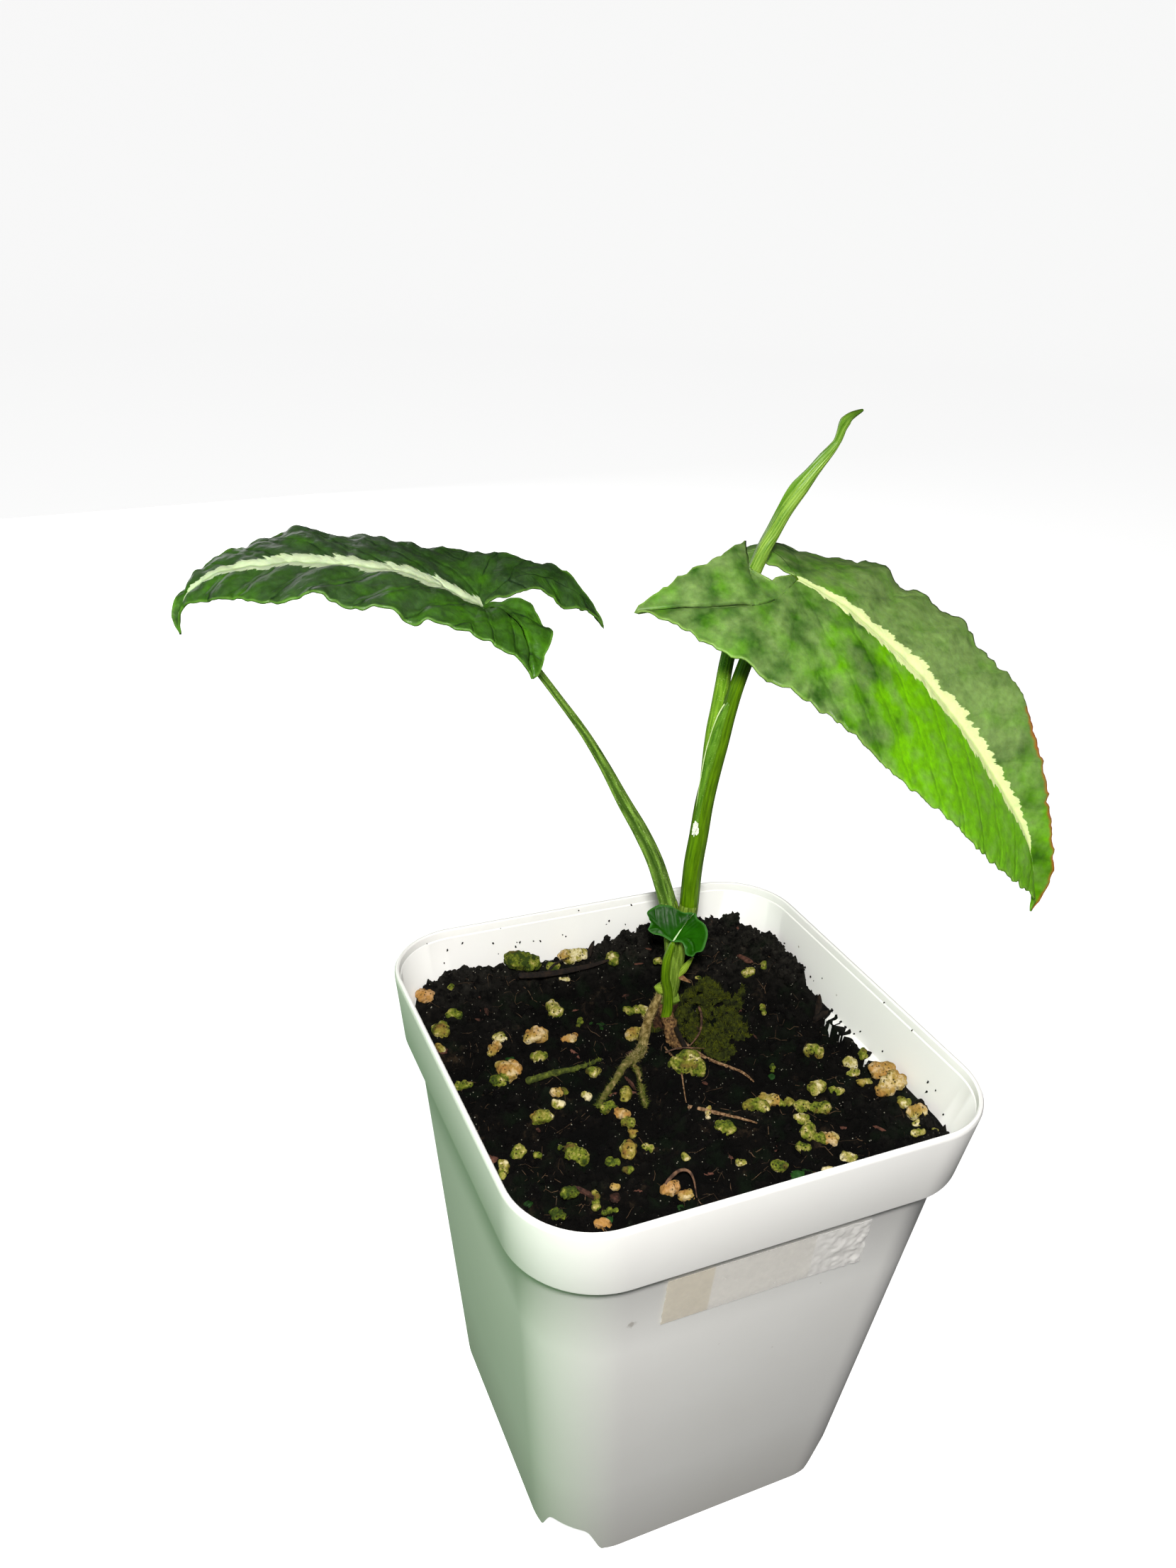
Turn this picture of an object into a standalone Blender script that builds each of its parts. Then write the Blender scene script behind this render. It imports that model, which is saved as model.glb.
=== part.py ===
"""A young arrowhead vine in a square nursery pot.

Metres, +Z up. The sizes below are in millimetres, and MM turns them into metres. They are measured from
the centre of the pot's foot, with the labelled front face of the pot on the -Y side. At the end the whole
plant is shifted on one empty, so that the middle of its box stands over the origin.
"""

import math
import random

import bmesh
import bpy
from mathutils import Vector

MM = 0.001
GAP = 0.3

# Pot
POT_HEIGHT = 108.2
RIM_WIDTH = 100.0
RIM_RADIUS = 16.7
COLLAR_HEIGHT = 16.1
COLLAR_FOOT_WIDTH = 97.0
COLLAR_FOOT_RADIUS = 18.0
BODY_TOP_WIDTH = 91.8
BODY_TOP_RADIUS = 15.9
BODY_FOOT_WIDTH = 72.0
BODY_FOOT_RADIUS = 14.5
WALL = 1.3
FLOOR_UNDERSIDE = 7.8
FLOOR_THICKNESS = 1.5
RIM_ROUNDING = 0.4
CORNER_STEPS = 7
SMOOTH_ANGLE = 35.0
NOTCH_HALF = ((7.6, -1.0), (6.5, 1.4), (5.0, 5.7), (3.8, 7.4))
NOTCH_REACH = (26.0, 58.0)
DRAIN_DIAMETER = 9.0
DRAIN_FROM_CENTRE = 34.0
DRAIN_SIDES = 12

# Clear tape on the front face, under the collar
TAPE_LENGTH = 44.0
TAPE_WIDTH = 12.0
TAPE_THICKNESS = 0.3
TAPE_TOP = 88.0

# Potting mix: the level of its surface, then rises and hollows as (x, y, height, spread)
MIX_LEVEL = 91.4
MIX_SWELLS = (
    (37.0, 40.0, 6.5, 12.0),
    (20.0, 43.0, 4.0, 6.0),
    (-33.0, 43.0, 3.5, 11.0),
    (43.0, -31.0, 2.8, 7.0),
    (22.0, 22.0, 1.8, 6.0),
    (9.0, 17.0, -3.2, 6.5),
)
MIX_RIPPLES = ((4.6, 3.9, 0.55), (2.9, 3.3, 0.35), (9.5, 8.1, 0.7))
MIX_RINGS = 15
SHOULDER_DEPTH = 8.0

# Perlite: the larger grains by place and diameter, then a seeded scatter of small ones
GRAINS = (
    (-36, 37, 4.2), (-40, 33, 3.4), (-41, 27, 3.0), (-29, 26, 3.0), (-31, 22, 3.4), (-21, 24, 2.6),
    (-14, 31, 3.0), (-15, 21, 3.8), (-10, 25, 3.2), (-23, 16, 3.8), (-31, 14, 3.0), (-34, 10, 4.2),
    (-41, 13, 3.0), (-25, 2, 4.4), (-29, -2, 4.0), (-38, -11, 2.6), (-34, -12, 2.8), (-27, -14, 3.4),
    (-14, -6, 4.4), (-14, -12, 3.8), (-18, -20, 4.0), (-13, -18, 3.2), (-29, -28, 3.6), (-36, -28, 3.4),
    (-14, -31, 3.6), (-7, -23, 3.0), (3, -29, 3.2), (10, -32, 3.0), (3, -17, 4.2), (17, -13, 5.2),
    (22, -16, 3.8), (26, -20, 4.2), (21, -23, 3.6), (18, -27, 3.4), (24, -28, 3.2), (18, -35, 3.8),
    (36, -2, 3.4), (30, -15, 4.0), (41, -17, 6.0), (41, -25, 3.6), (40, -9, 3.6), (-18, -1, 3.4),
    (-12, 40, 6.0), (-2, 41, 5.4), (5, 40, 4.0), (33, 15, 3.2), (19, 36, 3.2), (30, 30, 3.0),
)
SMALL_GRAINS = 26
SMALL_GRAIN = (1.6, 2.4)
LARGE_GRAIN = 4.9
GRAIN_RISE = 0.16
GRAIN_CLEARANCE = 5.0
GRAIN_SEED = 11

# Main stem: points up the middle, with the radius at each
STEM_LINE = (
    (10.4, 22.6, 84.0), (10.7, 22.5, 92.0), (11.6, 22.5, 99.5), (12.0, 22.4, 106.0), (12.0, 22.4, 114.0),
)
STEM_RADII = (1.7, 1.9, 2.2, 2.3, 2.5)
STEM_HOLE_RADIUS = 2.4
STEM_HOLE_FOOT = 83.6
STEM_RING = ((11.3, 22.5, 96.2), (11.4, 22.5, 97.8))
STEM_RING_RADIUS = 2.6
FORK_FOOT = (12.0, 22.4, 111.0)
FORK_RADII = (2.2, 2.1, 2.05)
FORK_SQUARE = 3.0
ROUND_BUD = ((10.2, 22.0, 99.4), (8.6, 21.6, 100.2), (7.4, 21.4, 100.8))
ROUND_BUD_RADII = (1.3, 1.25, 0.4)
POINTED_BUD = ((11.8, 21.6, 102.2), (13.6, 20.5, 105.0), (15.3, 20.0, 107.7))
POINTED_BUD_RADII = (0.8, 0.8, 0.2)
DRY_SCALE = ((12.0, 21.4, 103.6), (13.6, 20.4, 102.6), (15.1, 20.0, 101.5))
DRY_SCALE_RADII = (0.7, 0.5, 0.2)

# Stalks of the leaves, from the foot up
LEFT_STALK = (
    (9.4, 23.2, 122.4), (6.2, 24.1, 132.0), (2.6, 25.0, 139.8), (-1.7, 26.2, 147.5), (-6.2, 27.4, 156.0),
    (-10.6, 28.5, 163.4), (-15.7, 29.9, 170.7), (-23.0, 31.9, 180.6), (-30.55, 33.6, 189.35),
)
LEFT_STALK_RADII = (2.1, 1.95, 1.8, 1.55, 1.2, 1.0, 0.85, 0.8, 0.75)
RIGHT_STALK = (
    (14.0, 21.4, 122.0), (14.1, 21.4, 131.4), (14.6, 21.1, 139.2), (15.1, 20.9, 147.0), (15.9, 20.5, 154.0),
    (17.0, 19.9, 161.6), (17.9, 19.4, 168.3), (19.2, 18.7, 175.7), (21.4, 17.6, 184.0), (26.2, 14.9, 196.1),
)
RIGHT_STALK_RADII = (2.1, 2.1, 2.05, 2.0, 1.9, 1.75, 1.6, 1.5, 1.45, 1.3)
SHEATH_LINE = (
    (14.1, 20.2, 143.0), (14.6, 19.3, 152.0), (15.6, 18.6, 161.0), (16.7, 17.7, 169.0), (17.3, 17.0, 174.0),
)
SHEATH_RADII = (0.7, 1.15, 1.15, 0.9, 0.45)
NEW_STALK = (
    (17.3, 24.6, 153.0), (17.3, 24.2, 158.0), (17.4, 23.8, 163.0), (17.5, 23.1, 168.0), (17.5, 22.4, 173.0),
    (17.5, 21.5, 179.0), (18.2, 20.3, 188.0), (19.6, 19.0, 197.0),
)
NEW_STALK_RADII = (1.3, 1.6, 1.65, 1.6, 1.55, 1.5, 1.5, 1.5)
SMALL_STALK = (
    (9.4, 19.3, 93.6), (9.6, 19.1, 96.2), (9.2, 18.6, 99.4), (8.5, 18.1, 102.6), (7.5, 17.6, 105.9),
    (7.1, 17.0, 110.4), (7.3, 16.8, 112.5), (7.9, 16.6, 114.4),
)
SMALL_STALK_RADII = (0.9, 0.9, 0.9, 0.95, 0.95, 0.9, 0.85, 0.7)

# Young leaf, still rolled: points from foot to tip, the radius at each, and the step where its edge laps
ROLL_LINE = (
    (19.75, 18.9, 197.7), (21.4, 18.4, 202.4), (22.9, 18.0, 205.8), (24.8, 17.2, 210.5),
    (27.8, 16.2, 215.9),
    (30.2, 15.6, 219.6), (32.8, 15.0, 223.3), (34.4, 14.6, 226.3), (36.9, 14.2, 229.4),
)
ROLL_RADII = (1.45, 1.5, 1.5, 1.4, 1.25, 1.2, 0.95, 0.75, 0.35)
ROLL_LAP = 0.22
ROLL_TURN = 150.0

# Leaf blades, each in its own frame: its junction with the stalk, the way that it points, and its midrib.
# Each half has a rear lobe with a vein from the junction to the lobe's tip, an inner margin from the
# junction to that tip, and an outer margin from there to the tip of the leaf. All are (along, across,
# lift), and across is positive on the left of a leaf seen from its junction. The small leaf stands up by
# its pitch.
# A blade's form is its thickness, how much it arches between vein and margin, and how its ribs slant.
LARGE_LEAF_FORM = (0.8, 0.04, 0.28)
SMALL_LEAF_FORM = (0.6, 0, 0.95)
LEFT_LEAF_JUNCTION = (-31.1, 33.5, 190.3)
LEFT_LEAF_HEADING = 165.0
LEFT_LEAF_MIDRIB = (
    (0, 0, 0), (7, 0, 3.7), (14, 0, 6.4), (23, 0, 7.9), (33, 0, 8.6), (41, 0, 8.1), (49, 0, 6.5),
    (54, 0, 3.6),
    (57.3, 0, -1), (57.3, 0, -5.6),
)
LEFT_LEAF_LEFT = {
    "inner": (
        (0, 0, 0), (-2.9, 1, 1.6), (-6, 2.2, 2.5), (-9.2, 3.4, 1.2), (-10.7, 5.5, -1.3), (-12.3, 7.5, -2.2),
        (-12.3, 10, -3.8), (-10.9, 12.5, -5.2), (-9.8, 15, -7.6), (-8.6, 16.3, -8.8),
    ),
    "vein": ((0, 0, 0), (-3.5, 5, 1), (-7, 10, -1.8), (-8.6, 16.3, -8.8)),
    "outer": (
        (-8.6, 16.3, -8.8), (-6, 16.6, -5.4), (-1, 16.2, -2.2), (5, 16.3, 0.8), (11, 16.6, 2.7),
        (14, 16.5, 2.1),
        (19, 16.5, 5), (25, 15.8, 4.6), (31.3, 14.5, 7), (37.5, 12.8, 4.5), (45.2, 9.2, 4.2),
        (51.3, 5.5, 2.8),
        (54.8, 3, 1.2), (57.4, 1, -2.4), (57.3, 0, -5.6),
    ),
}
LEFT_LEAF_RIGHT = {
    "inner": (
        (0, 0, 0), (-2.8, -1.2, 1.4), (-7.7, -3.6, 2), (-10.4, -5, 2.3), (-14, -6.6, 0.2),
        (-16.6, -8, -2.3),
        (-20.5, -10, -3.6), (-23, -11.6, -4), (-25.4, -13.2, -7.2), (-26.4, -14, -9),
    ),
    "vein": ((0, 0, 0), (-6, -6, 4), (-14, -10.5, 2.6), (-21.5, -13, -2.6), (-26.4, -14, -9)),
    "outer": (
        (-26.4, -14, -9), (-25.2, -14.4, -6.3), (-22.5, -15, -2), (-18, -16, 2.5), (-10, -16.8, 4.9),
        (0, -16.6, 6.5), (10.5, -17, 7.5), (20, -17, 9.2), (29, -15.6, 10), (34.5, -14, 12.2),
        (38.7, -12.6, 10.9), (45, -9.5, 9.4), (50.5, -6.1, 7.5), (54.6, -3.3, 4.7), (57.8, -1, 0.3),
        (58.3, -0.5, -3), (57.3, 0, -5.6),
    ),
}
RIGHT_LEAF_JUNCTION = (26.8, 14.1, 197.6)
RIGHT_LEAF_HEADING = -28.0
RIGHT_LEAF_MIDRIB = (
    (0, 0, 0), (8.8, 0, -4.2), (16.4, 0, -9.4), (27.2, 0, -18.3), (36.8, 0, -28.4), (44.6, 0, -37.8),
    (54, 0, -51), (58.1, 0, -61), (59.6, 0, -70.4),
)
RIGHT_LEAF_RIGHT = {
    "inner": (
        (0, 0, 0), (-1.6, -1.2, 0.7), (-3.3, -3, 1), (-5.3, -5, 0.5), (-7.6, -4.6, 1.6), (-10.2, -2.8, 2.8),
        (-11.9, 0.4, 4.2), (-10.2, 3.6, 5.7), (-12.6, 0, 5.5), (-16.2, -5, 4), (-21.5, -9, 2.2),
        (-27, -13, -1.4), (-30.8, -15.4, -4.2),
    ),
    "vein": ((0, 0, 0), (-5, -8.5, -2.4), (-12, -12.5, -2.6), (-21, -14.5, -3), (-30.8, -15.4, -4.2)),
    "outer": (
        (-30.8, -15.4, -4.2), (-28.5, -17.3, -3.9), (-23, -19.4, -5), (-15, -21.2, -8.6),
        (-9, -21.8, -10.6),
        (-5.5, -22, -13.7), (-1, -21.6, -15.2), (5, -21.8, -18.8), (11.5, -22, -22.6), (17, -22, -27.4),
        (22.8, -21.6, -32.3), (32.7, -19.2, -40), (39.3, -16.6, -46.3), (44.4, -13.5, -51.7),
        (50.9, -8.8, -57.9), (56.5, -3.8, -63.4), (59, -1.2, -67), (59.6, 0, -70.4),
    ),
}
RIGHT_LEAF_LEFT = {
    "inner": (
        (0, 0, 0), (-1.8, 1.3, 0.8), (-4.2, 4, 1.5), (-6.6, 5.6, 1.4), (-10.5, 7.4, -0.6),
        (-16.6, 10.5, -4.6),
        (-21.6, 14.5, -7.6),
    ),
    "vein": ((0, 0, 0), (-4, 8, 2.4), (-9, 12.5, 1.2), (-15, 14.5, -2.6), (-21.6, 14.5, -7.6)),
    "outer": (
        (-21.6, 14.5, -7.6), (-17, 18.4, -3.6), (-9.5, 21, -0.2), (-3, 21.8, 1.3), (3, 21, -0.2),
        (10.5, 21, -1), (18, 21, -1.3), (21.5, 20.8, -2.8), (24, 20.4, -6), (29, 19.4, -6.9),
        (32.5, 18.4, -9.6), (37.7, 16.5, -11.2), (41, 14.8, -15.8), (48.2, 10.5, -21.3), (51.5, 8, -26),
        (55.5, 4.6, -35.8), (58, 2.6, -43), (61, 1.2, -54), (62.3, 0.8, -60.5), (61.2, 0.5, -66),
        (59.6, 0, -70.4),
    ),
}
SMALL_LEAF_JUNCTION = (8.0, 16.6, 115.6)
SMALL_LEAF_HEADING = 50.0
SMALL_LEAF_PITCH = 60.0
SMALL_LEAF_MIDRIB = ((0, 0, 0), (3.1, -1.3, 0.2), (5.5, -2.4, 0.2), (7.4, -3.4, -0.2))
SMALL_LEAF_LEFT = {
    "inner": ((0, 0, 0), (0.3, 0.9, 0.2), (1, 2.5, 0.6), (1.1, 4.5, 0.9), (1.7, 5.8, 1)),
    "vein": ((0, 0, 0), (1.3, 1.7, 0), (2.6, 3.9, 0.4), (1.7, 5.8, 1)),
    "outer": (
        (1.7, 5.8, 1), (3.6, 5.5, 0.8), (4.5, 6.1, 1.2), (5.7, 6.6, 1.3), (7.5, 4.6, 0.8), (7.9, 2, 0.2),
        (7, -0.8, -0.3), (7.3, -2.5, 0), (7.4, -3.4, -0.2),
    ),
}
SMALL_LEAF_RIGHT = {
    "inner": (
        (0, 0, 0), (0.3, -1, 0.1), (0.4, -2.1, 0.2), (-0.6, -2.8, 0.3), (-1.9, -3.4, 0.5), (-2.1, -5, 0.6),
    ),
    "vein": ((0, 0, 0), (1.4, -2.6, 0), (0.4, -4.5, 0.2), (-2.1, -5, 0.6)),
    "outer": (
        (-2.1, -5, 0.6), (-1.1, -5.4, 0.6), (-0.3, -7, 0.9), (2.1, -7.4, 0.8), (4.3, -7.2, 0.9),
        (5.6, -6, 0.6), (6.2, -4.6, 0.3), (7.2, -4, 0.2), (7.4, -3.4, -0.2),
    ),
}

# Roots: points at the stem, then places over the mix. Each is set clear of the highest mix felt about it.
ROOT_CLEARANCE = 0.35
ROOT_FEEL = 1.2
FUZZY_ROOT = ((7.9, 20.6, 98.4), (5.2, 19.3, 95.2), (3.4, 17.4, 92.6))
FUZZY_ROOT_RUN = ((1.4, 14.6), (-1.4, 11.8), (-5.3, 9.6), (-9.5, 5.5), (-13.4, 2.2))
STUB_ROOT = ((9.8, 16.6, 92.0), (9.6, 15.6, 90.2))
STUB_ROOT_RUN = ((9.3, 13.2), (9.2, 11.2))
DRY_ROOT_RUN = ((11.6, 16.6), (11.3, 11.0), (12.2, 5.6), (14.6, 1.0), (17.3, -2.6), (18.3, -6.0))
HAIR_ROOT_RUN = ((6.4, 13.0), (5.6, 8.0), (5.0, 3.8), (2.9, -2.7), (1.1, -7.5))
LOW_ROOT_RUN = ((0.6, -9.6), (4.3, -12.6), (8.2, -16.0), (11.4, -19.0))
GREEN_ROOT_RUN = ((-28.0, 9.6), (-22.8, 10.0), (-16.6, 9.9), (-10.4, 11.6))
FUZZY_ROOT_RADII = (1.0, 0.95, 0.9, 0.85, 0.8, 0.8)
STUB_ROOT_RADII = (1.1, 1.2, 1.0, 1.0)
THIN_ROOT_RADII = (0.4, 0.4, 0.35)
GREEN_ROOT_RADII = (0.5, 0.7, 0.7, 0.6)


def clear_scene():
    """Remove every object that the scene starts with."""
    for obj in list(bpy.data.objects):
        bpy.data.objects.remove(obj, do_unlink=True)


def finish_material(name, colour, roughness):
    """Return a material of one colour and roughness."""
    material = bpy.data.materials.new(name)
    material.use_nodes = True
    shader = material.node_tree.nodes["Principled BSDF"]
    shader.inputs["Base Color"].default_value = (*colour, 1.0)
    shader.inputs["Roughness"].default_value = roughness
    shader.inputs["Metallic"].default_value = 0.0
    return material


def add_object(name, data, material):
    """Link new mesh or curve data to the scene as an object with a material."""
    obj = bpy.data.objects.new(name, data)
    bpy.context.scene.collection.objects.link(obj)
    if material is not None:
        data.materials.append(material)
    return obj


def mesh_from(name, points, faces, material):
    """Make an object from points in millimetres, with its faces turned outward."""
    mesh = bpy.data.meshes.new(name)
    mesh.from_pydata([tuple(c * MM for c in p) for p in points], [], faces)
    build = bmesh.new()
    build.from_mesh(mesh)
    bmesh.ops.recalc_face_normals(build, faces=build.faces)
    build.to_mesh(mesh)
    build.free()
    return add_object(name, mesh, material)


def apply_modifiers(obj):
    """Replace an object's mesh by the mesh that its modifiers make."""
    graph = bpy.context.evaluated_depsgraph_get()
    mesh = bpy.data.meshes.new_from_object(obj.evaluated_get(graph))
    obj.modifiers.clear()
    obj.data = mesh


def as_mesh_object(obj):
    """Turn a curve object into a mesh object of the same name, place and material."""
    graph = bpy.context.evaluated_depsgraph_get()
    mesh = bpy.data.meshes.new_from_object(obj.evaluated_get(graph))
    name = obj.name
    bpy.data.objects.remove(obj, do_unlink=True)
    return add_object(name, mesh, None)


def combine(obj, others, operation):
    """Join others to an object, or cut them from it, by one Boolean on a collection that is applied."""
    group = bpy.data.collections.new(obj.name + "_group")
    bpy.context.scene.collection.children.link(group)
    for other in others:
        group.objects.link(other)
    modifier = obj.modifiers.new("combine", "BOOLEAN")
    modifier.operation = operation
    modifier.solver = "EXACT"
    modifier.operand_type = "COLLECTION"
    modifier.collection = group
    apply_modifiers(obj)
    for other in others:
        bpy.data.objects.remove(other, do_unlink=True)
    bpy.data.collections.remove(group)


def smooth_through(points, steps):
    """Return points on a smooth curve through the given ones, with steps between each pair."""
    dense = []
    last = len(points) - 1
    for i in range(last):
        before = Vector(points[max(i - 1, 0)])
        start = Vector(points[i])
        end = Vector(points[i + 1])
        after = Vector(points[min(i + 2, last)])
        for k in range(steps):
            t = k / steps
            bend = (2 * start) + (end - before) * t
            bend += (2 * before - 5 * start + 4 * end - after) * t * t
            bend += (3 * start - 3 * end + after - before) * t**3
            dense.append(bend / 2)
    dense.append(Vector(points[last]))
    return dense


def between(values, fraction):
    """Return the value at a fraction of the way along a list, in straight runs."""
    place = fraction * (len(values) - 1)
    i = min(int(place), len(values) - 2)
    return values[i] + (values[i + 1] - values[i]) * (place - i)


def stalk(name, line, radii, material, steps=3, roundness=3):
    """Make a tapering round stalk or root along a smooth line, closed at both ends."""
    curve = bpy.data.curves.new(name, "CURVE")
    curve.dimensions = "3D"
    curve.bevel_depth = MM
    curve.bevel_resolution = roundness
    curve.use_fill_caps = True
    dense = smooth_through(line, steps)
    spline = curve.splines.new("POLY")
    spline.points.add(len(dense) - 1)
    for i, (point, place) in enumerate(zip(spline.points, dense)):
        point.co = (*(place * MM), 1.0)
        point.radius = between(radii, i / (len(dense) - 1))
    return add_object(name, curve, material)


def width_at(height):
    """Return the width of the pot's tapering body at a height above its foot."""
    top = POT_HEIGHT - COLLAR_HEIGHT
    return BODY_FOOT_WIDTH + (BODY_TOP_WIDTH - BODY_FOOT_WIDTH) * height / top


def radius_at(height):
    """Return the radius of the body's corners at a height above its foot."""
    top = POT_HEIGHT - COLLAR_HEIGHT
    return BODY_FOOT_RADIUS + (BODY_TOP_RADIUS - BODY_FOOT_RADIUS) * height / top


def rounded_square(width, radius, height, steps=CORNER_STEPS):
    """Return the points of a level square ring with round corners."""
    centre = width / 2 - radius
    ring = []
    for corner, (sx, sy) in enumerate(((1, 1), (-1, 1), (-1, -1), (1, -1))):
        for k in range(steps + 1):
            angle = math.radians(90 * (corner + k / steps))
            x = sx * centre + radius * math.cos(angle)
            y = sy * centre + radius * math.sin(angle)
            ring.append((x, y, height))
    return ring


def loft(name, rings, material):
    """Join rings of equal length into a closed solid, with a face over the first and the last."""
    count = len(rings[0])
    points = [point for ring in rings for point in ring]
    faces = [tuple(range(count)), tuple(range((len(rings) - 1) * count, len(rings) * count))]
    for r in range(len(rings) - 1):
        for i in range(count):
            j = (i + 1) % count
            faces.append((r * count + i, r * count + j, (r + 1) * count + j, (r + 1) * count + i))
    return mesh_from(name, points, faces, material)


def notch_cutter(corner):
    """Return the cutter that opens the skirt at one corner, with sloping ends and a round crown."""
    section = [*NOTCH_HALF, *[(-u, z) for u, z in reversed(NOTCH_HALF)]]
    angle = math.radians(45 + 90 * corner)
    rings = []
    for reach in NOTCH_REACH:
        ring = []
        for u, z in section:
            x = reach * math.cos(angle) - u * math.sin(angle)
            y = reach * math.sin(angle) + u * math.cos(angle)
            ring.append((x, y, z))
        rings.append(ring)
    return loft(f"notch_cutter_{corner}", rings, None)


def drain_cutter(corner):
    """Return the cutter of one drain hole in the floor, near a corner."""
    angle = math.radians(45 + 90 * corner)
    x = DRAIN_FROM_CENTRE * math.cos(angle)
    y = DRAIN_FROM_CENTRE * math.sin(angle)
    turn = [2 * math.pi * k / DRAIN_SIDES for k in range(DRAIN_SIDES)]
    circle = [(x + DRAIN_DIAMETER / 2 * math.cos(a), y + DRAIN_DIAMETER / 2 * math.sin(a)) for a in turn]
    rings = []
    for height in (FLOOR_UNDERSIDE - 1, FLOOR_UNDERSIDE + FLOOR_THICKNESS + 1):
        rings.append([(*place, height) for place in circle])
    return loft(f"drain_cutter_{corner}", rings, None)


def make_pot():
    """Build the moulded pot: skirt, tapering body, collar, rounded rim, inner step and raised floor."""
    plastic = finish_material("white_plastic", (0.82, 0.81, 0.78), 0.42)
    body_top = POT_HEIGHT - COLLAR_HEIGHT
    step = body_top + WALL
    floor_top = FLOOR_UNDERSIDE + FLOOR_THICKNESS
    round_off = RIM_ROUNDING
    rings = [
        rounded_square(width_at(FLOOR_UNDERSIDE) - 2 * WALL, radius_at(0) - WALL, FLOOR_UNDERSIDE),
        rounded_square(BODY_FOOT_WIDTH - 2 * WALL, radius_at(0) - WALL, 0),
        rounded_square(BODY_FOOT_WIDTH, BODY_FOOT_RADIUS, 0),
        rounded_square(width_at(body_top), BODY_TOP_RADIUS, body_top),
        rounded_square(COLLAR_FOOT_WIDTH, COLLAR_FOOT_RADIUS, body_top),
        rounded_square(RIM_WIDTH, RIM_RADIUS, POT_HEIGHT - round_off),
        rounded_square(RIM_WIDTH - 2 * round_off, RIM_RADIUS - round_off, POT_HEIGHT),
        rounded_square(RIM_WIDTH - 2 * WALL + 2 * round_off, RIM_RADIUS - WALL + round_off, POT_HEIGHT),
        rounded_square(RIM_WIDTH - 2 * WALL, RIM_RADIUS - WALL, POT_HEIGHT - round_off),
        rounded_square(COLLAR_FOOT_WIDTH - 2 * WALL, COLLAR_FOOT_RADIUS - WALL, step),
        rounded_square(width_at(body_top) - 2 * WALL, BODY_TOP_RADIUS - WALL, step),
        rounded_square(width_at(floor_top) - 2 * WALL, radius_at(floor_top) - WALL, floor_top),
    ]
    pot = loft("pot", rings, plastic)
    cutters = [make(corner) for corner in range(4) for make in (notch_cutter, drain_cutter)]
    combine(pot, cutters, "DIFFERENCE")
    pot.data.shade_smooth()
    pot.data.set_sharp_from_angle(angle=math.radians(SMOOTH_ANGLE))


def make_tape():
    """Build the strip of clear tape that lies on the front face, just clear of it."""
    film = finish_material("clear_film", (0.80, 0.80, 0.80), 0.2)
    rings = []
    for lift in (GAP, GAP + TAPE_THICKNESS):
        ring = []
        for x, z in ((-1, 0), (1, 0), (1, 1), (-1, 1)):
            height = TAPE_TOP - TAPE_WIDTH * (1 - z)
            ring.append((x * TAPE_LENGTH / 2, -width_at(height) / 2 - lift, height))
        rings.append(ring)
    loft("label_tape", rings, film)


def mix_height(x, y):
    """Return the height of the potting mix at a place, from its level, swells, hollows and ripples."""
    height = MIX_LEVEL
    for cx, cy, rise, spread in MIX_SWELLS:
        height += rise * math.exp(-((x - cx) ** 2 + (y - cy) ** 2) / (2 * spread**2))
    for wave_x, wave_y, rise in MIX_RIPPLES:
        height += rise * math.sin(x / wave_x + y / 7.0) * math.cos(y / wave_y - x / 9.0)
    return height


def toward_wall(dx, dy, fraction, height):
    """Return the place at a fraction of the way from the centre to the pot's wall, just clear of it."""
    if fraction == 0:
        return 0.0, 0.0
    half = width_at(height) / 2 - WALL - GAP
    radius = radius_at(height) - WALL - GAP
    straight = half - radius
    reach = half / max(abs(dx), abs(dy))
    if min(abs(dx), abs(dy)) * reach > straight:
        along = straight * (abs(dx) + abs(dy))
        size = dx * dx + dy * dy
        reach = (along + math.sqrt(along * along - size * (2 * straight**2 - radius**2))) / size
    return dx * reach * fraction, dy * reach * fraction


def square_ring(k):
    """Return the grid places of the k-th square ring round a centre, anticlockwise."""
    if k == 0:
        return [(0, 0)]
    side = range(-k, k)
    ring = [(k, i) for i in side] + [(-i, k) for i in side]
    return ring + [(-k, -i) for i in side] + [(i, -k) for i in side]


def small_grain_places():
    """Return seeded places and sizes of the small grains, clear of the stem, the roots and other grains."""
    draw = random.Random(GRAIN_SEED)
    routes = (FUZZY_ROOT_RUN, STUB_ROOT_RUN, DRY_ROOT_RUN, HAIR_ROOT_RUN, LOW_ROOT_RUN, GREEN_ROOT_RUN)
    taken = [(x, y) for x, y, size in GRAINS]
    keep_off = [(p.x, p.y) for run in routes for p in smooth_through([(x, y, 0) for x, y in run], 4)]
    keep_off.append(STEM_LINE[0][:2])
    found = []
    while len(found) < SMALL_GRAINS:
        x = draw.uniform(-38, 38)
        y = draw.uniform(-38, 38)
        size = draw.uniform(*SMALL_GRAIN)
        if min(math.dist((x, y), place) for place in taken + keep_off) > GRAIN_CLEARANCE:
            taken.append((x, y))
            found.append((x, y, size))
    return found


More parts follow.
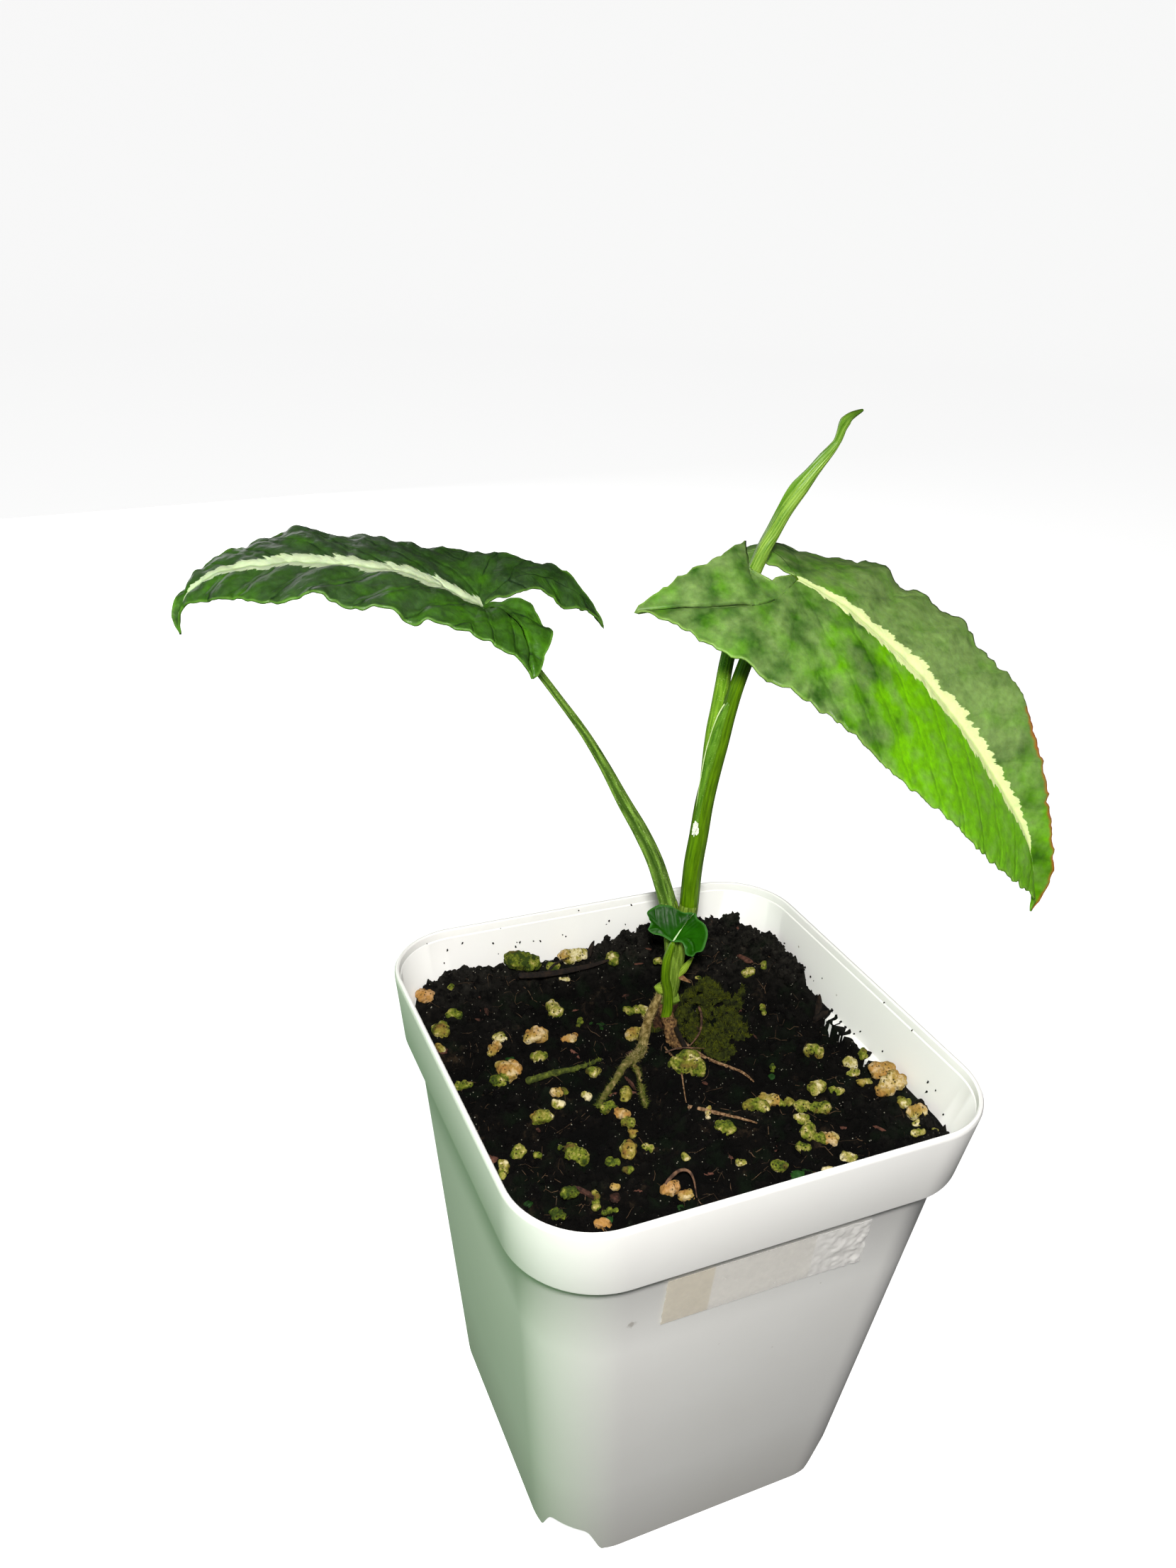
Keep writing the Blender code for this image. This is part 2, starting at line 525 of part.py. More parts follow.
def make_grain(index, x, y, size, draw):
    """Build one perlite grain, a lumpy low ball sunk a third of its size into the mix."""
    detail = 2 if size > LARGE_GRAIN else 1
    build = bmesh.new()
    bmesh.ops.create_icosphere(build, subdivisions=detail, radius=size / 2 * MM)
    stretch = Vector((draw.uniform(0.85, 1.2), draw.uniform(0.85, 1.2), draw.uniform(0.75, 0.95)))
    centre = Vector((x, y, mix_height(x, y) + size * GRAIN_RISE)) * MM
    for vert in build.verts:
        vert.co = vert.co * stretch * draw.uniform(0.88, 1.12) + centre
    mesh = bpy.data.meshes.new(f"grain_{index}")
    build.to_mesh(mesh)
    build.free()
    return add_object(mesh.name, mesh, None)


def make_mix():
    """Build the potting mix that fills the pot, with perlite fused to it and a plain hole for the stem."""
    peat = finish_material("peat_and_bark", (0.012, 0.010, 0.008), 0.95)
    points = []
    rows = []
    for k in range(MIX_RINGS + 1):
        row = []
        for i, j in square_ring(k):
            x, y = toward_wall(i / MIX_RINGS, j / MIX_RINGS, k / MIX_RINGS, MIX_LEVEL)
            row.append(len(points))
            points.append((x, y, mix_height(x, y)))
        rows.append(row)
    places = {place: rows[k][n] for k in range(MIX_RINGS + 1) for n, place in enumerate(square_ring(k))}
    faces = []
    for i in range(-MIX_RINGS, MIX_RINGS):
        for j in range(-MIX_RINGS, MIX_RINGS):
            a, b, c, d = places[i, j], places[i + 1, j], places[i + 1, j + 1], places[i, j + 1]
            faces += [(a, b, c), (a, c, d)] if (i < 0) == (j < 0) else [(a, b, d), (b, c, d)]
    above = rows[MIX_RINGS]
    for height in (MIX_LEVEL - SHOULDER_DEPTH, FLOOR_UNDERSIDE + FLOOR_THICKNESS + GAP):
        below = []
        for i, j in square_ring(MIX_RINGS):
            below.append(len(points))
            points.append((*toward_wall(i / MIX_RINGS, j / MIX_RINGS, 1, height), height))
        for n in range(len(below)):
            m = (n + 1) % len(below)
            faces += [(above[n], below[n], below[m]), (above[n], below[m], above[m])]
        above = below
    faces.append(tuple(above))
    mix = mesh_from("potting_mix", points, faces, peat)
    draw = random.Random(GRAIN_SEED + 1)
    grains = [make_grain(n, *spec, draw) for n, spec in enumerate([*GRAINS, *small_grain_places()])]
    combine(mix, grains, "UNION")
    hole = ((*STEM_LINE[0][:2], STEM_HOLE_FOOT), (*STEM_LINE[1][:2], MIX_LEVEL + SHOULDER_DEPTH))
    cutter = as_mesh_object(stalk("stem_hole", hole, (STEM_HOLE_RADIUS, STEM_HOLE_RADIUS + GAP), None, 1))
    combine(mix, [cutter], "DIFFERENCE")


def make_main_stem():
    """Build the short main stem with its node ring, two buds, dry scale and the fork at its top."""
    green = finish_material("stem_green", (0.16, 0.30, 0.05), 0.5)
    stem = as_mesh_object(stalk("main_stem", STEM_LINE, STEM_RADII, None, 3, 4))
    stem.name = "main_stem"
    pieces = [
        stalk("ring", STEM_RING, (STEM_RING_RADIUS, STEM_RING_RADIUS), None, 1, 4),
        stalk("round_bud", ROUND_BUD, ROUND_BUD_RADII, None, 2),
        stalk("pointed_bud", POINTED_BUD, POINTED_BUD_RADII, None, 2),
        stalk("dry_scale", DRY_SCALE, DRY_SCALE_RADII, None, 2),
    ]
    for name, line in (("left_fork", LEFT_STALK), ("right_fork", RIGHT_STALK)):
        foot = Vector(line[0])
        rising = (Vector(line[1]) - foot).normalized()
        end = foot - rising * GAP
        pieces.append(stalk(name, (FORK_FOOT, end - rising * FORK_SQUARE, end), FORK_RADII, None, 1, 4))
    combine(stem, [as_mesh_object(piece) for piece in pieces], "UNION")
    stem.data.materials.append(green)


def make_stalks():
    """Build the four leaf stalks. The right one carries the sheath that the new leaf came out of."""
    left_green = finish_material("left_stalk_green", (0.15, 0.32, 0.07), 0.5)
    right_green = finish_material("right_stalk_green", (0.10, 0.30, 0.01), 0.45)
    new_green = finish_material("new_stalk_green", (0.20, 0.42, 0.03), 0.45)
    small_green = finish_material("small_stalk_green", (0.12, 0.30, 0.05), 0.4)
    stalk("petiole_left", LEFT_STALK, LEFT_STALK_RADII, left_green)
    stalk("petiole_new", NEW_STALK, NEW_STALK_RADII, new_green)
    stalk("petiole_small", SMALL_STALK, SMALL_STALK_RADII, small_green, 2)
    right = as_mesh_object(stalk("petiole_right", RIGHT_STALK, RIGHT_STALK_RADII, None))
    right.name = "petiole_right"
    combine(right, [as_mesh_object(stalk("sheath", SHEATH_LINE, SHEATH_RADII, None))], "UNION")
    right.data.materials.append(right_green)


def make_rolled_leaf():
    """Build the young leaf, rolled in a spear. Its outer edge laps over in a step that winds up it."""
    lime = finish_material("young_leaf_green", (0.30, 0.52, 0.05), 0.4)
    line = smooth_through(ROLL_LINE, 2)
    sides = 12
    rings = []
    side = Vector((0, 1, 0))
    for n, centre in enumerate(line):
        ahead = line[min(n + 1, len(line) - 1)] - line[max(n - 1, 0)]
        ahead.normalize()
        side = (side - ahead * side.dot(ahead)).normalized()
        other = ahead.cross(side)
        fraction = n / (len(line) - 1)
        radius = between(ROLL_RADII, fraction)
        start = math.radians(ROLL_TURN * fraction)
        ring = []
        for k in range(sides):
            angle = start + 2 * math.pi * k / sides
            reach = radius * (1 - ROLL_LAP / 2 + ROLL_LAP * k / (sides - 1))
            ring.append(tuple(centre + side * reach * math.cos(angle) + other * reach * math.sin(angle)))
        rings.append(ring)
    loft("leaf_new", rings, lime)


def along_curve(points, fraction):
    """Return the point of a dense curve that lies at a fraction of its length."""
    goal = fraction * sum((after - before).length for before, after in zip(points, points[1:]))
    for before, after in zip(points, points[1:]):
        length = (after - before).length
        if goal <= length:
            return before.lerp(after, goal / max(length, 1e-9))
        goal -= length
    return points[-1]


def half_blade(half, spine, slant, lobe_ribs, blade_ribs):
    """Return the ribs of one half blade, as two strips of (foot, edge).

    One strip runs up the rear lobe between its vein and its inner margin. The other comes back down the
    lobe on the outer side, and then goes on along the midrib to the tip of the leaf.
    """
    inner = smooth_through(half["inner"], 12)
    vein = smooth_through(half["vein"], 12)
    outer = smooth_through(half["outer"], 12)
    shoulder = max(i for i, p in enumerate(outer) if p.x <= slant * abs(p.y))
    lobe = outer[: shoulder + 1]
    rest = outer[shoulder:]
    steps = [k / lobe_ribs for k in range(lobe_ribs + 1)]
    first = [(along_curve(vein, t), along_curve(inner, t)) for t in steps]
    second = [(along_curve(vein, 1 - t), along_curve(lobe, t)) for t in steps]
    for k in range(1, blade_ribs + 1):
        second.append((along_curve(spine, k / blade_ribs), along_curve(rest, k / blade_ribs)))
    return first, second


def blade(name, junction, turn, midrib, halves, form, counts, material):
    """Build one leaf blade, a thin arched sheet between its veins and its margins."""
    thickness, arch, slant = form
    lobe_ribs, blade_ribs, across = counts
    heading, pitch = turn
    spine = smooth_through(midrib, 12)
    points = []
    index = {}

    def corner(place):
        key = tuple(round(c, 3) for c in place)
        if key not in index:
            index[key] = len(points)
            points.append(place)
        return index[key]

    faces = []
    for half in halves:
        for strip in half_blade(half, spine, slant, lobe_ribs, blade_ribs):
            rows = []
            for foot, edge in strip:
                bulge = Vector((0, 0, 4 * arch * (edge - foot).length))
                parts = [j / across for j in range(across + 1)]
                rows.append([corner(foot.lerp(edge, t) + bulge * t * (1 - t)) for t in parts])
            for low, high in zip(rows, rows[1:]):
                for j in range(across):
                    for face in ((low[j], low[j + 1], high[j + 1]), (low[j], high[j + 1], high[j])):
                        if len(set(face)) == 3:
                            faces.append(face)
    obj = mesh_from(name, points, faces, material)
    obj.location = [c * MM for c in junction]
    obj.rotation_euler = (0, math.radians(-pitch), math.radians(heading))
    thicken = obj.modifiers.new("thickness", "SOLIDIFY")
    thicken.thickness = thickness * MM
    thicken.offset = 0


def make_leaves():
    """Build the left, right and small leaf blades."""
    dark = finish_material("leaf_dark_green", (0.018, 0.075, 0.015), 0.4)
    bright = finish_material("leaf_bright_green", (0.07, 0.24, 0.02), 0.4)
    glossy = finish_material("small_leaf_green", (0.006, 0.11, 0.012), 0.25)
    blade("leaf_left", LEFT_LEAF_JUNCTION, (LEFT_LEAF_HEADING, 0), LEFT_LEAF_MIDRIB,
          (LEFT_LEAF_LEFT, LEFT_LEAF_RIGHT), LARGE_LEAF_FORM, (10, 22, 5), dark)
    blade("leaf_right", RIGHT_LEAF_JUNCTION, (RIGHT_LEAF_HEADING, 0), RIGHT_LEAF_MIDRIB,
          (RIGHT_LEAF_LEFT, RIGHT_LEAF_RIGHT), LARGE_LEAF_FORM, (12, 24, 5), bright)
    blade("leaf_small", SMALL_LEAF_JUNCTION, (SMALL_LEAF_HEADING, SMALL_LEAF_PITCH), SMALL_LEAF_MIDRIB,
          (SMALL_LEAF_LEFT, SMALL_LEAF_RIGHT), SMALL_LEAF_FORM, (4, 8, 2), glossy)


def over_mix(run, radius):
    """Return the route of a root that lies on the mix, just clear of it."""
    dense = smooth_through([(x, y, 0) for x, y in run], 3)
    clear = radius + GAP + ROOT_CLEARANCE
    near = ((0, 0), (ROOT_FEEL, 0), (-ROOT_FEEL, 0), (0, ROOT_FEEL), (0, -ROOT_FEEL))
    return [(p.x, p.y, max(mix_height(p.x + dx, p.y + dy) for dx, dy in near) + clear) for p in dense]


def make_roots():
    """Build the roots above the mix: two thick ones from the stem's node, and thin dry ones."""
    tan = finish_material("root_tan", (0.30, 0.20, 0.10), 0.85)
    mossy = finish_material("root_mossy", (0.13, 0.15, 0.04), 0.9)
    fuzzy = [*FUZZY_ROOT, *over_mix(FUZZY_ROOT_RUN, FUZZY_ROOT_RADII[-1])]
    stub = [*STUB_ROOT, *over_mix(STUB_ROOT_RUN, STUB_ROOT_RADII[-1])]
    stalk("root_fuzzy", fuzzy, FUZZY_ROOT_RADII, tan, 1, 2)
    stalk("root_stub", stub, STUB_ROOT_RADII, tan, 1, 2)
    stalk("root_dry", over_mix(DRY_ROOT_RUN, THIN_ROOT_RADII[0]), THIN_ROOT_RADII, tan, 1, 2)
    stalk("root_hair", over_mix(HAIR_ROOT_RUN, THIN_ROOT_RADII[0]), THIN_ROOT_RADII, tan, 1, 2)
    stalk("root_low", over_mix(LOW_ROOT_RUN, THIN_ROOT_RADII[0]), THIN_ROOT_RADII, tan, 1, 2)
    stalk("root_green", over_mix(GREEN_ROOT_RUN, GREEN_ROOT_RADII[2]), GREEN_ROOT_RADII, mossy, 1, 2)


def stand_on_origin():
    """Carry every piece on one empty, placed so that the middle of the whole box is over the origin."""
    pieces = list(bpy.context.scene.collection.objects)
    graph = bpy.context.evaluated_depsgraph_get()
    spots = []
    for piece in pieces:
        shape = piece.evaluated_get(graph)
        mesh = shape.to_mesh()
        spots += [shape.matrix_world @ vert.co for vert in mesh.vertices]
        shape.to_mesh_clear()
    base = bpy.data.objects.new("plant_base", None)
    bpy.context.scene.collection.objects.link(base)
    middle_x = (min(p.x for p in spots) + max(p.x for p in spots)) / 2
    middle_y = (min(p.y for p in spots) + max(p.y for p in spots)) / 2
    base.location = (-middle_x, -middle_y, 0)
    for piece in pieces:
        piece.parent = base


def main():
    """Build the whole plant in its pot."""
    clear_scene()
    make_pot()
    make_tape()
    make_mix()
    make_main_stem()
    make_stalks()
    make_rolled_leaf()
    make_leaves()
    make_roots()
    stand_on_origin()


main()
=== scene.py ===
"""Looks of a young arrowhead vine in a white square nursery pot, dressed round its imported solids.

Sizes are in millimetres, measured from the middle of the pot's foot with the labelled face on -Y.
Finished meshes are in metres in the frame of the solids.
"""

from __future__ import annotations

import logging
import math
import random
from collections.abc import Callable, Iterator, Sequence
from dataclasses import dataclass, field
from enum import Enum
from functools import cache, partial

import bmesh
import bpy
import numpy as np
from mathutils import Euler, Matrix, Vector, noise


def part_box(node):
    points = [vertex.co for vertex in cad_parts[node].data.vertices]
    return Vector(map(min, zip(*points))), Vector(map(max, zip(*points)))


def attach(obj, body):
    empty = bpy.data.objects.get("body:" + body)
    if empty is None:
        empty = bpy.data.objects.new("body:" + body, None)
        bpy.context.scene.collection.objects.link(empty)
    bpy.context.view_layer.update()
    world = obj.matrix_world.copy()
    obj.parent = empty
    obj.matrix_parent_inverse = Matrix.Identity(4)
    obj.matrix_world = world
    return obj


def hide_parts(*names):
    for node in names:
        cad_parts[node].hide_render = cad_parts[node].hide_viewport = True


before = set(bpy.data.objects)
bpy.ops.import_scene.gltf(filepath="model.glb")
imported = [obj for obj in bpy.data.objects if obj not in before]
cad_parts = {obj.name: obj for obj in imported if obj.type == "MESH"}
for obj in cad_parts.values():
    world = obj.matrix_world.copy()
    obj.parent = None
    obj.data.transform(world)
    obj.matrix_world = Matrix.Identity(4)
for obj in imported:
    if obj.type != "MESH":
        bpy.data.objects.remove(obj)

MM = 0.001
BODY = "root"
SMOOTH_ANGLE = math.radians(38)
FULL_TURN = 2 * math.pi
ABOUT_A_TURN = 6.3

Point = Sequence[float]
Line = Sequence[Point]
Colour = tuple[float, float, float, float]
NodeMaker = Callable[..., object]
Shape = Callable[[float, float], float]

# Settings that a node kind always gets here.
USUAL = {"Mix": {"data_type": "RGBA"}}

# Lift and width of each ring of a tube's rounded end, as shares of the radius there.
DOME = ((0.0, 1.0), (0.45, 0.86), (0.75, 0.6), (0.9, 0.25))

log = logging.getLogger("vine")


class Side(Enum):
    """Half of a leaf, seen from its junction with the stalk."""

    LEFT = 1
    RIGHT = -1


def foot_centre() -> Vector:
    """Return the middle of the pot's foot in the row frame, in metres."""
    low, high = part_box("pot")
    return Vector(((low.x + high.x) / 2, (low.y + high.y) / 2, 0))


FOOT = foot_centre()


def place(point: Point) -> Vector:
    """Turn a point in millimetres from the foot's middle into metres in the row frame."""
    return Vector(point) * MM + FOOT


def srgb(code: str) -> Colour:
    """Turn an sRGB hex colour into linear colour with full alpha.

    Args:
        code: Hex colour such as "#A0B0C0".

    Returns:
        Linear red, green, blue and alpha.
    """
    parts = [int(code[i : i + 2], 16) / 255 for i in (1, 3, 5)]
    red, green, blue = (c / 12.92 if c <= 0.04045 else ((c + 0.055) / 1.055) ** 2.4 for c in parts)
    return red, green, blue, 1.0


def fill(socket: bpy.types.NodeSocket, value: object) -> None:
    """Link an output to an input, or set the input's value.

    Args:
        socket: Input to fill.
        value: Output of another node, or a plain value.
    """
    if isinstance(value, bpy.types.NodeSocket):
        socket.id_data.links.new(value, socket)
    else:
        socket.default_value = value


def add_node(
    tree: bpy.types.NodeTree,
    kind: str,
    *values: object,
    out: str | Sequence[str] = "",
    **named: object,
) -> object:
    """Add a node to a tree with its settings and links.

    Args:
        tree: Tree that gets the node.
        kind: Blender's name for the node type, without its first words.
        values: Values or outputs for the inputs in use, in their order.
        out: Name of the output wanted, or a tuple of names. Otherwise it is the first one in use.
        named: Settings, and inputs by names that start with a capital. "stops" gives a ramp's
            colours.

    Returns:
        The output, or a list of outputs.
    """
    node = tree.nodes.new("ShaderNode" + kind)
    for key, value in {**USUAL.get(kind, {}), **named}.items():
        if key == "stops":
            ramp = node.color_ramp.elements
            for stop, _ in value[1:-1]:
                ramp.new(stop)
            ramp[0].position, ramp[-1].position = value[0][0], value[-1][0]
            for element, (_, colour) in zip(ramp, value):
                element.color = colour
        elif key[0].islower():
            setattr(node, key, value)
    for socket, value in zip([socket for socket in node.inputs if socket.enabled], values):
        fill(socket, value)
    for key in filter(str.istitle, named):
        fill(node.inputs[key], named[key])
    if isinstance(out, tuple):
        return [node.outputs[key] for key in out]
    return node.outputs[out] if out else next(socket for socket in node.outputs if socket.enabled)


# Lines and rings


def smooth_line(points: Line, steps: int) -> list[Vector]:
    """Return points on a smooth curve through the given ones.

    Args:
        points: Points that the curve passes through.
        steps: Number of steps between each pair.

    Returns:
        The dense points, from the first given one to the last.
    """
    dense = []
    last = len(points) - 1
    for i in range(last):
        before, start = Vector(points[max(i - 1, 0)]), Vector(points[i])
        end, after = Vector(points[i + 1]), Vector(points[min(i + 2, last)])
        for k in range(steps):
            t = k / steps
            bend = 2 * start + (end - before) * t
            bend += (2 * before - 5 * start + 4 * end - after) * t * t
            bend += (3 * start - 3 * end + after - before) * t**3
            dense.append(bend / 2)
    dense.append(Vector(points[last]))
    return dense


def line_length(points: Sequence[Vector]) -> float:
    """Return the length of a dense line."""
    return sum((after - before).length for before, after in zip(points, points[1:]))


def along_line(points: Sequence[Vector], fraction: float) -> Vector:
    """Find a point part of the way along a dense line.

    Args:
        points: Dense line.
        fraction: Share of its length, from 0 to 1.

    Returns:
        The point there.
    """
    goal = fraction * line_length(points)
    for before, after in zip(points, points[1:]):
        length = (after - before).length
        if goal <= length:
            return before.lerp(after, goal / max(length, 1e-9))
        goal -= length
    return points[-1].copy()


def spread(values: Sequence[float], fraction: float) -> float:
    """Return the value at a fraction of the way along evenly spaced values."""
    return float(np.interp(fraction * (len(values) - 1), range(len(values)), values))


def look_up(table: Line, spot: float) -> float:
    """Return the value at a spot, from a table of spots and their values."""
    return float(np.interp(spot, *zip(*table)))


def clamp(value: float) -> float:
    """Return a value held between 0 and 1."""
    return min(1.0, max(0.0, value))


def frames(
    line: Sequence[Vector], side: Vector
) -> Iterator[tuple[float, Vector, Vector, Vector, Vector]]:
    """Yield a cross frame at each point of a dense line, each turned little from the last.

    Args:
        line: Dense line.
        side: Direction that the first frame's side stays near.

    Yields:
        Fraction of the way along, the point, and the directions ahead, aside and across.
    """
    last = len(line) - 1
    for n, centre in enumerate(line):
        ahead = (line[min(n + 1, last)] - line[max(n - 1, 0)]).normalized()
        side = (side - ahead * side.dot(ahead)).normalized()
        yield n / last, centre, ahead, side, ahead.cross(side)


def ribbed(*waves: tuple[float, float, float, float]) -> Shape:
    """Give a tube's shape waves that run lengthwise, as ribs do.

    Args:
        waves: Height as a share of the radius, number round the tube, twist and start of each.

    Returns:
        Factor on the radius by the fraction along the tube and the angle round it.
    """

    def shape(fraction: float, angle: float) -> float:
        """Add up the waves at one point.

        Args:
            fraction: Fraction of the way along the tube.
            angle: Angle round it.

        Returns:
            Factor on the radius.
        """
        factor = 1.0
        for rise, count, twist, start in waves:
            factor += rise * math.sin(count * angle + twist * fraction + start)
        return factor

    return shape


def rounded_square(width: float, radius: float, height: float, steps: int) -> list[Vector]:
    """Return a level square ring with round corners.

    Args:
        width: Width over the flats.
        radius: Radius of the corners.
        height: Height above the foot.
        steps: Number of steps in each corner.

    Returns:
        The ring's points, anticlockwise from above.
    """
    centre = width / 2 - radius
    ring = []
    for corner, (sx, sy) in enumerate(((1, 1), (-1, 1), (-1, -1), (1, -1))):
        for k in range(steps + 1):
            angle = math.radians(90 * (corner + k / steps))
            x = sx * centre + radius * math.cos(angle)
            y = sy * centre + radius * math.sin(angle)
            ring.append(Vector((x, y, height)))
    return ring


# Objects and meshes


def deselect_all() -> None:
    """Leave edit mode, and deselect every object."""
    if bpy.context.mode != "OBJECT":
        bpy.ops.object.mode_set(mode="OBJECT")
    bpy.ops.object.select_all(action="DESELECT")


def activate(obj: bpy.types.Object) -> None:
    """Select one object alone, and make it the active one.

    Args:
        obj: Object to act on next.
    """
    deselect_all()
    obj.select_set(True)
    bpy.context.view_layer.objects.active = obj


def add_object(name: str, data: bpy.types.ID) -> bpy.types.Object:
    """Put a mesh, a light or a camera in the scene.

    Args:
        name: Name of the new object.
        data: What the object holds.

    Returns:
        The new object, at the origin.
    """
    obj = bpy.data.objects.new(name, data)
    bpy.context.scene.collection.objects.link(obj)
    return obj


def add_grid(name: str, columns: int, rows: int) -> bpy.types.Object:
    """Add a level grid that runs from -1 to 1 both ways, to be shaped point by point.

    Args:
        name: Name of the new object.
        columns: Number of columns of faces.
        rows: Number of rows of faces.

    Returns:
        The grid.
    """
    deselect_all()
    bpy.ops.mesh.primitive_grid_add(x_subdivisions=columns, y_subdivisions=rows, size=2)
    grid = bpy.context.object
    grid.name = grid.data.name = name
    return grid


def add_spike() -> bpy.types.Object:
    """Model a three-sided spike, a unit wide and high, that stands on the origin.

    Returns:
        The spike, for copies as hairs and moss leaves.
    """
    deselect_all()
    bpy.ops.mesh.primitive_cone_add(
        vertices=3, radius1=0.5, radius2=0.0, depth=1, location=(0, 0, 0.5)
    )
    bpy.ops.object.transform_apply(location=True)
    return bpy.context.object


def select_border() -> None:
    """Enter edit mode with only the active mesh's open edges selected."""
    bpy.ops.object.mode_set(mode="EDIT")
    bpy.ops.mesh.select_all(action="DESELECT")
    bpy.ops.mesh.select_mode(type="EDGE")
    bpy.ops.mesh.select_non_manifold()


def settle_faces(inside: bool = False) -> None:
    """Turn all faces of the mesh in edit mode one way, and leave edit mode.

    Args:
        inside: Whether they point inwards.
    """
    bpy.ops.mesh.select_all(action="SELECT")
    bpy.ops.mesh.normals_make_consistent(inside=inside)
    bpy.ops.object.mode_set(mode="OBJECT")


def apply_modifier(obj: bpy.types.Object, kind: str, **settings: object) -> None:
    """Add a modifier to an object and apply it at once.

    Args:
        obj: Object that gets the modifier.
        kind: Blender's name for the modifier type.
        settings: Properties of the modifier.
    """
    activate(obj)
    modifier = obj.modifiers.new(kind.lower(), kind)
    for key, value in settings.items():
        setattr(modifier, key, value)
    bpy.ops.object.modifier_apply(modifier=modifier.name)


def join_all(name: str, objects: Sequence[bpy.types.Object]) -> bpy.types.Object:
    """Join objects into one.

    Args:
        name: Name of the joined object.
        objects: Objects to join. The first keeps its data.

    Returns:
        The joined object.
    """
    deselect_all()
    for obj in objects:
        obj.select_set(True)
    bpy.context.view_layer.objects.active = objects[0]
    if len(objects) > 1:
        bpy.ops.object.join()
    joined = bpy.context.view_layer.objects.active
    joined.name = name
    return joined


def set_attribute(mesh: bpy.types.Mesh, name: str, values: Sequence[float | Point]) -> None:
    """Store a number or a vector on each point of a mesh.

    Args:
        mesh: Mesh to store on.
        name: Name of the attribute.
        values: One number, or three, for each point.
    """
    data = np.asarray(values, np.float32)
    kind, key = ("FLOAT", "value") if data.ndim == 1 else ("FLOAT_VECTOR", "vector")
    mesh.attributes.new(name, kind, "POINT").data.foreach_set(key, data.ravel())


def sweep(name: str, rings: Sequence[Sequence[Vector]]) -> bpy.types.Object:
    """Extrude a closed ring step by step through the given rings, with a cap over each end.

    Each point keeps its place along the sweep in millimetres and its place round the ring, which
    the finishes read.

    Args:
        name: Name of the new object.
        rings: Rings of equal length, in millimetres.

    Returns:
        The new closed object.
    """
    deselect_all()
    count = len(rings[0])
    bpy.ops.mesh.primitive_circle_add(vertices=count, radius=MM, fill_type="NGON")
    obj = bpy.context.object
    obj.name = obj.data.name = name
    bpy.ops.object.mode_set(mode="EDIT")
    bpy.ops.mesh.select_mode(type="VERT")
    for number, ring in enumerate(rings):
        if number:
            bpy.ops.mesh.extrude_region_move()
        build = bmesh.from_edit_mesh(obj.data)
        for vert, spot in zip([v for v in build.verts if v.select], ring):
            vert.co = place(spot)
        bmesh.update_edit_mesh(obj.data)
    settle_faces()
    middles = [sum(ring, Vector()) / count for ring in rings]
    reach = [line_length(middles[: i + 1]) for i in range(len(rings))]
    round_ring = [FULL_TURN * k / count for k in range(count)]
    spots = [(along, math.cos(angle), math.sin(angle)) for along in reach for angle in round_ring]
    set_attribute(obj.data, "stalk_mm", spots)
    return obj


def tube(
    name: str,
    line: Line,
    radii: Sequence[float],
    sides: int,
    steps: int,
    shape: Shape | None = None,
    rounded: bool = True,
) -> bpy.types.Object:
    """Model a tube along a smooth line.

    Args:
        name: Name of the new object.
        line: Points that the tube's middle passes through.
        radii: Radii, evenly spaced from end to end.
        sides: Number of points in a ring.
        steps: Number of rings between each pair of points.
        shape: Factor on the radius by the fraction along the tube and the angle round it.
        rounded: Whether both ends close in a dome.

    Returns:
        The new closed object.
    """
    rings = []
    start = Vector((0, 1, 0.01))
    for fraction, centre, ahead, side, other in frames(smooth_line(line, steps), start):
        radius = spread(radii, fraction)
        ring = []
        for k in range(sides):
            angle = FULL_TURN * k / sides
            reach = radius * (shape(fraction, angle) if shape else 1)
            ring.append(centre + (side * math.cos(angle) + other * math.sin(angle)) * reach)
        if rounded and fraction in (0, 1):
            caps = []
            for lift, size in DOME:
                shift = ahead * lift * radius * (1 if fraction else -1)
                caps.append([centre + (spot - centre) * size + shift for spot in ring])
            rings += caps if fraction else caps[::-1]
        else:
            rings.append(ring)
    return sweep(name, rings)


def spin(draw: random.Random, lean: float = 0.0) -> Euler:
    """Draw a turn about the upright for a copy, and how far it leans over.

    Args:
        draw: Source of the random values.
        lean: Usual lean in radians, or 0 for none.

    Returns:
        The turn.
    """
    tilt = [draw.gauss(0, lean) for _ in range(2)] if lean else [0, 0]
    return Euler((*tilt, draw.uniform(0, ABOUT_A_TURN)))


def scatter(
    name: str,
    shapes: Sequence[bpy.types.Object],
    spots: Sequence[tuple[Point, Euler, Point]],
) -> bpy.types.Object:
    """Copy small modelled shapes to many places, as one mesh.

    Args:
        name: Name of the new object.
        shapes: Shapes to copy, about a unit across. They are removed afterwards.
        spots: Place in millimetres, turn and size in millimetres of each copy.

    Returns:
        The new object, with a random tone for each copy.
    """
    draw = random.Random(len(spots))
    points, faces, tones = [], [], []
    sources = []
    for shape in shapes:
        corners = np.array([vert.co for vert in shape.data.vertices])
        sources.append((corners, [tuple(side.vertices) for side in shape.data.polygons]))
    for middle, turn, size in spots:
        corners, sides = draw.choice(sources)
        matrix = np.array(turn.to_matrix())
        start = len(points)
        placed = (corners * np.array(size)) @ matrix.T * MM + np.array(place(middle))
        points += [tuple(point) for point in placed]
        faces += [tuple(start + i for i in side) for side in sides]
        tones += [draw.random()] * len(corners)
    mesh = bpy.data.meshes.new(name)
    mesh.from_pydata(points, [], faces)
    set_attribute(mesh, "tone", tones)
    mesh.shade_smooth()
    for shape in shapes:
        bpy.data.objects.remove(shape, do_unlink=True)
    return add_object(name, mesh)


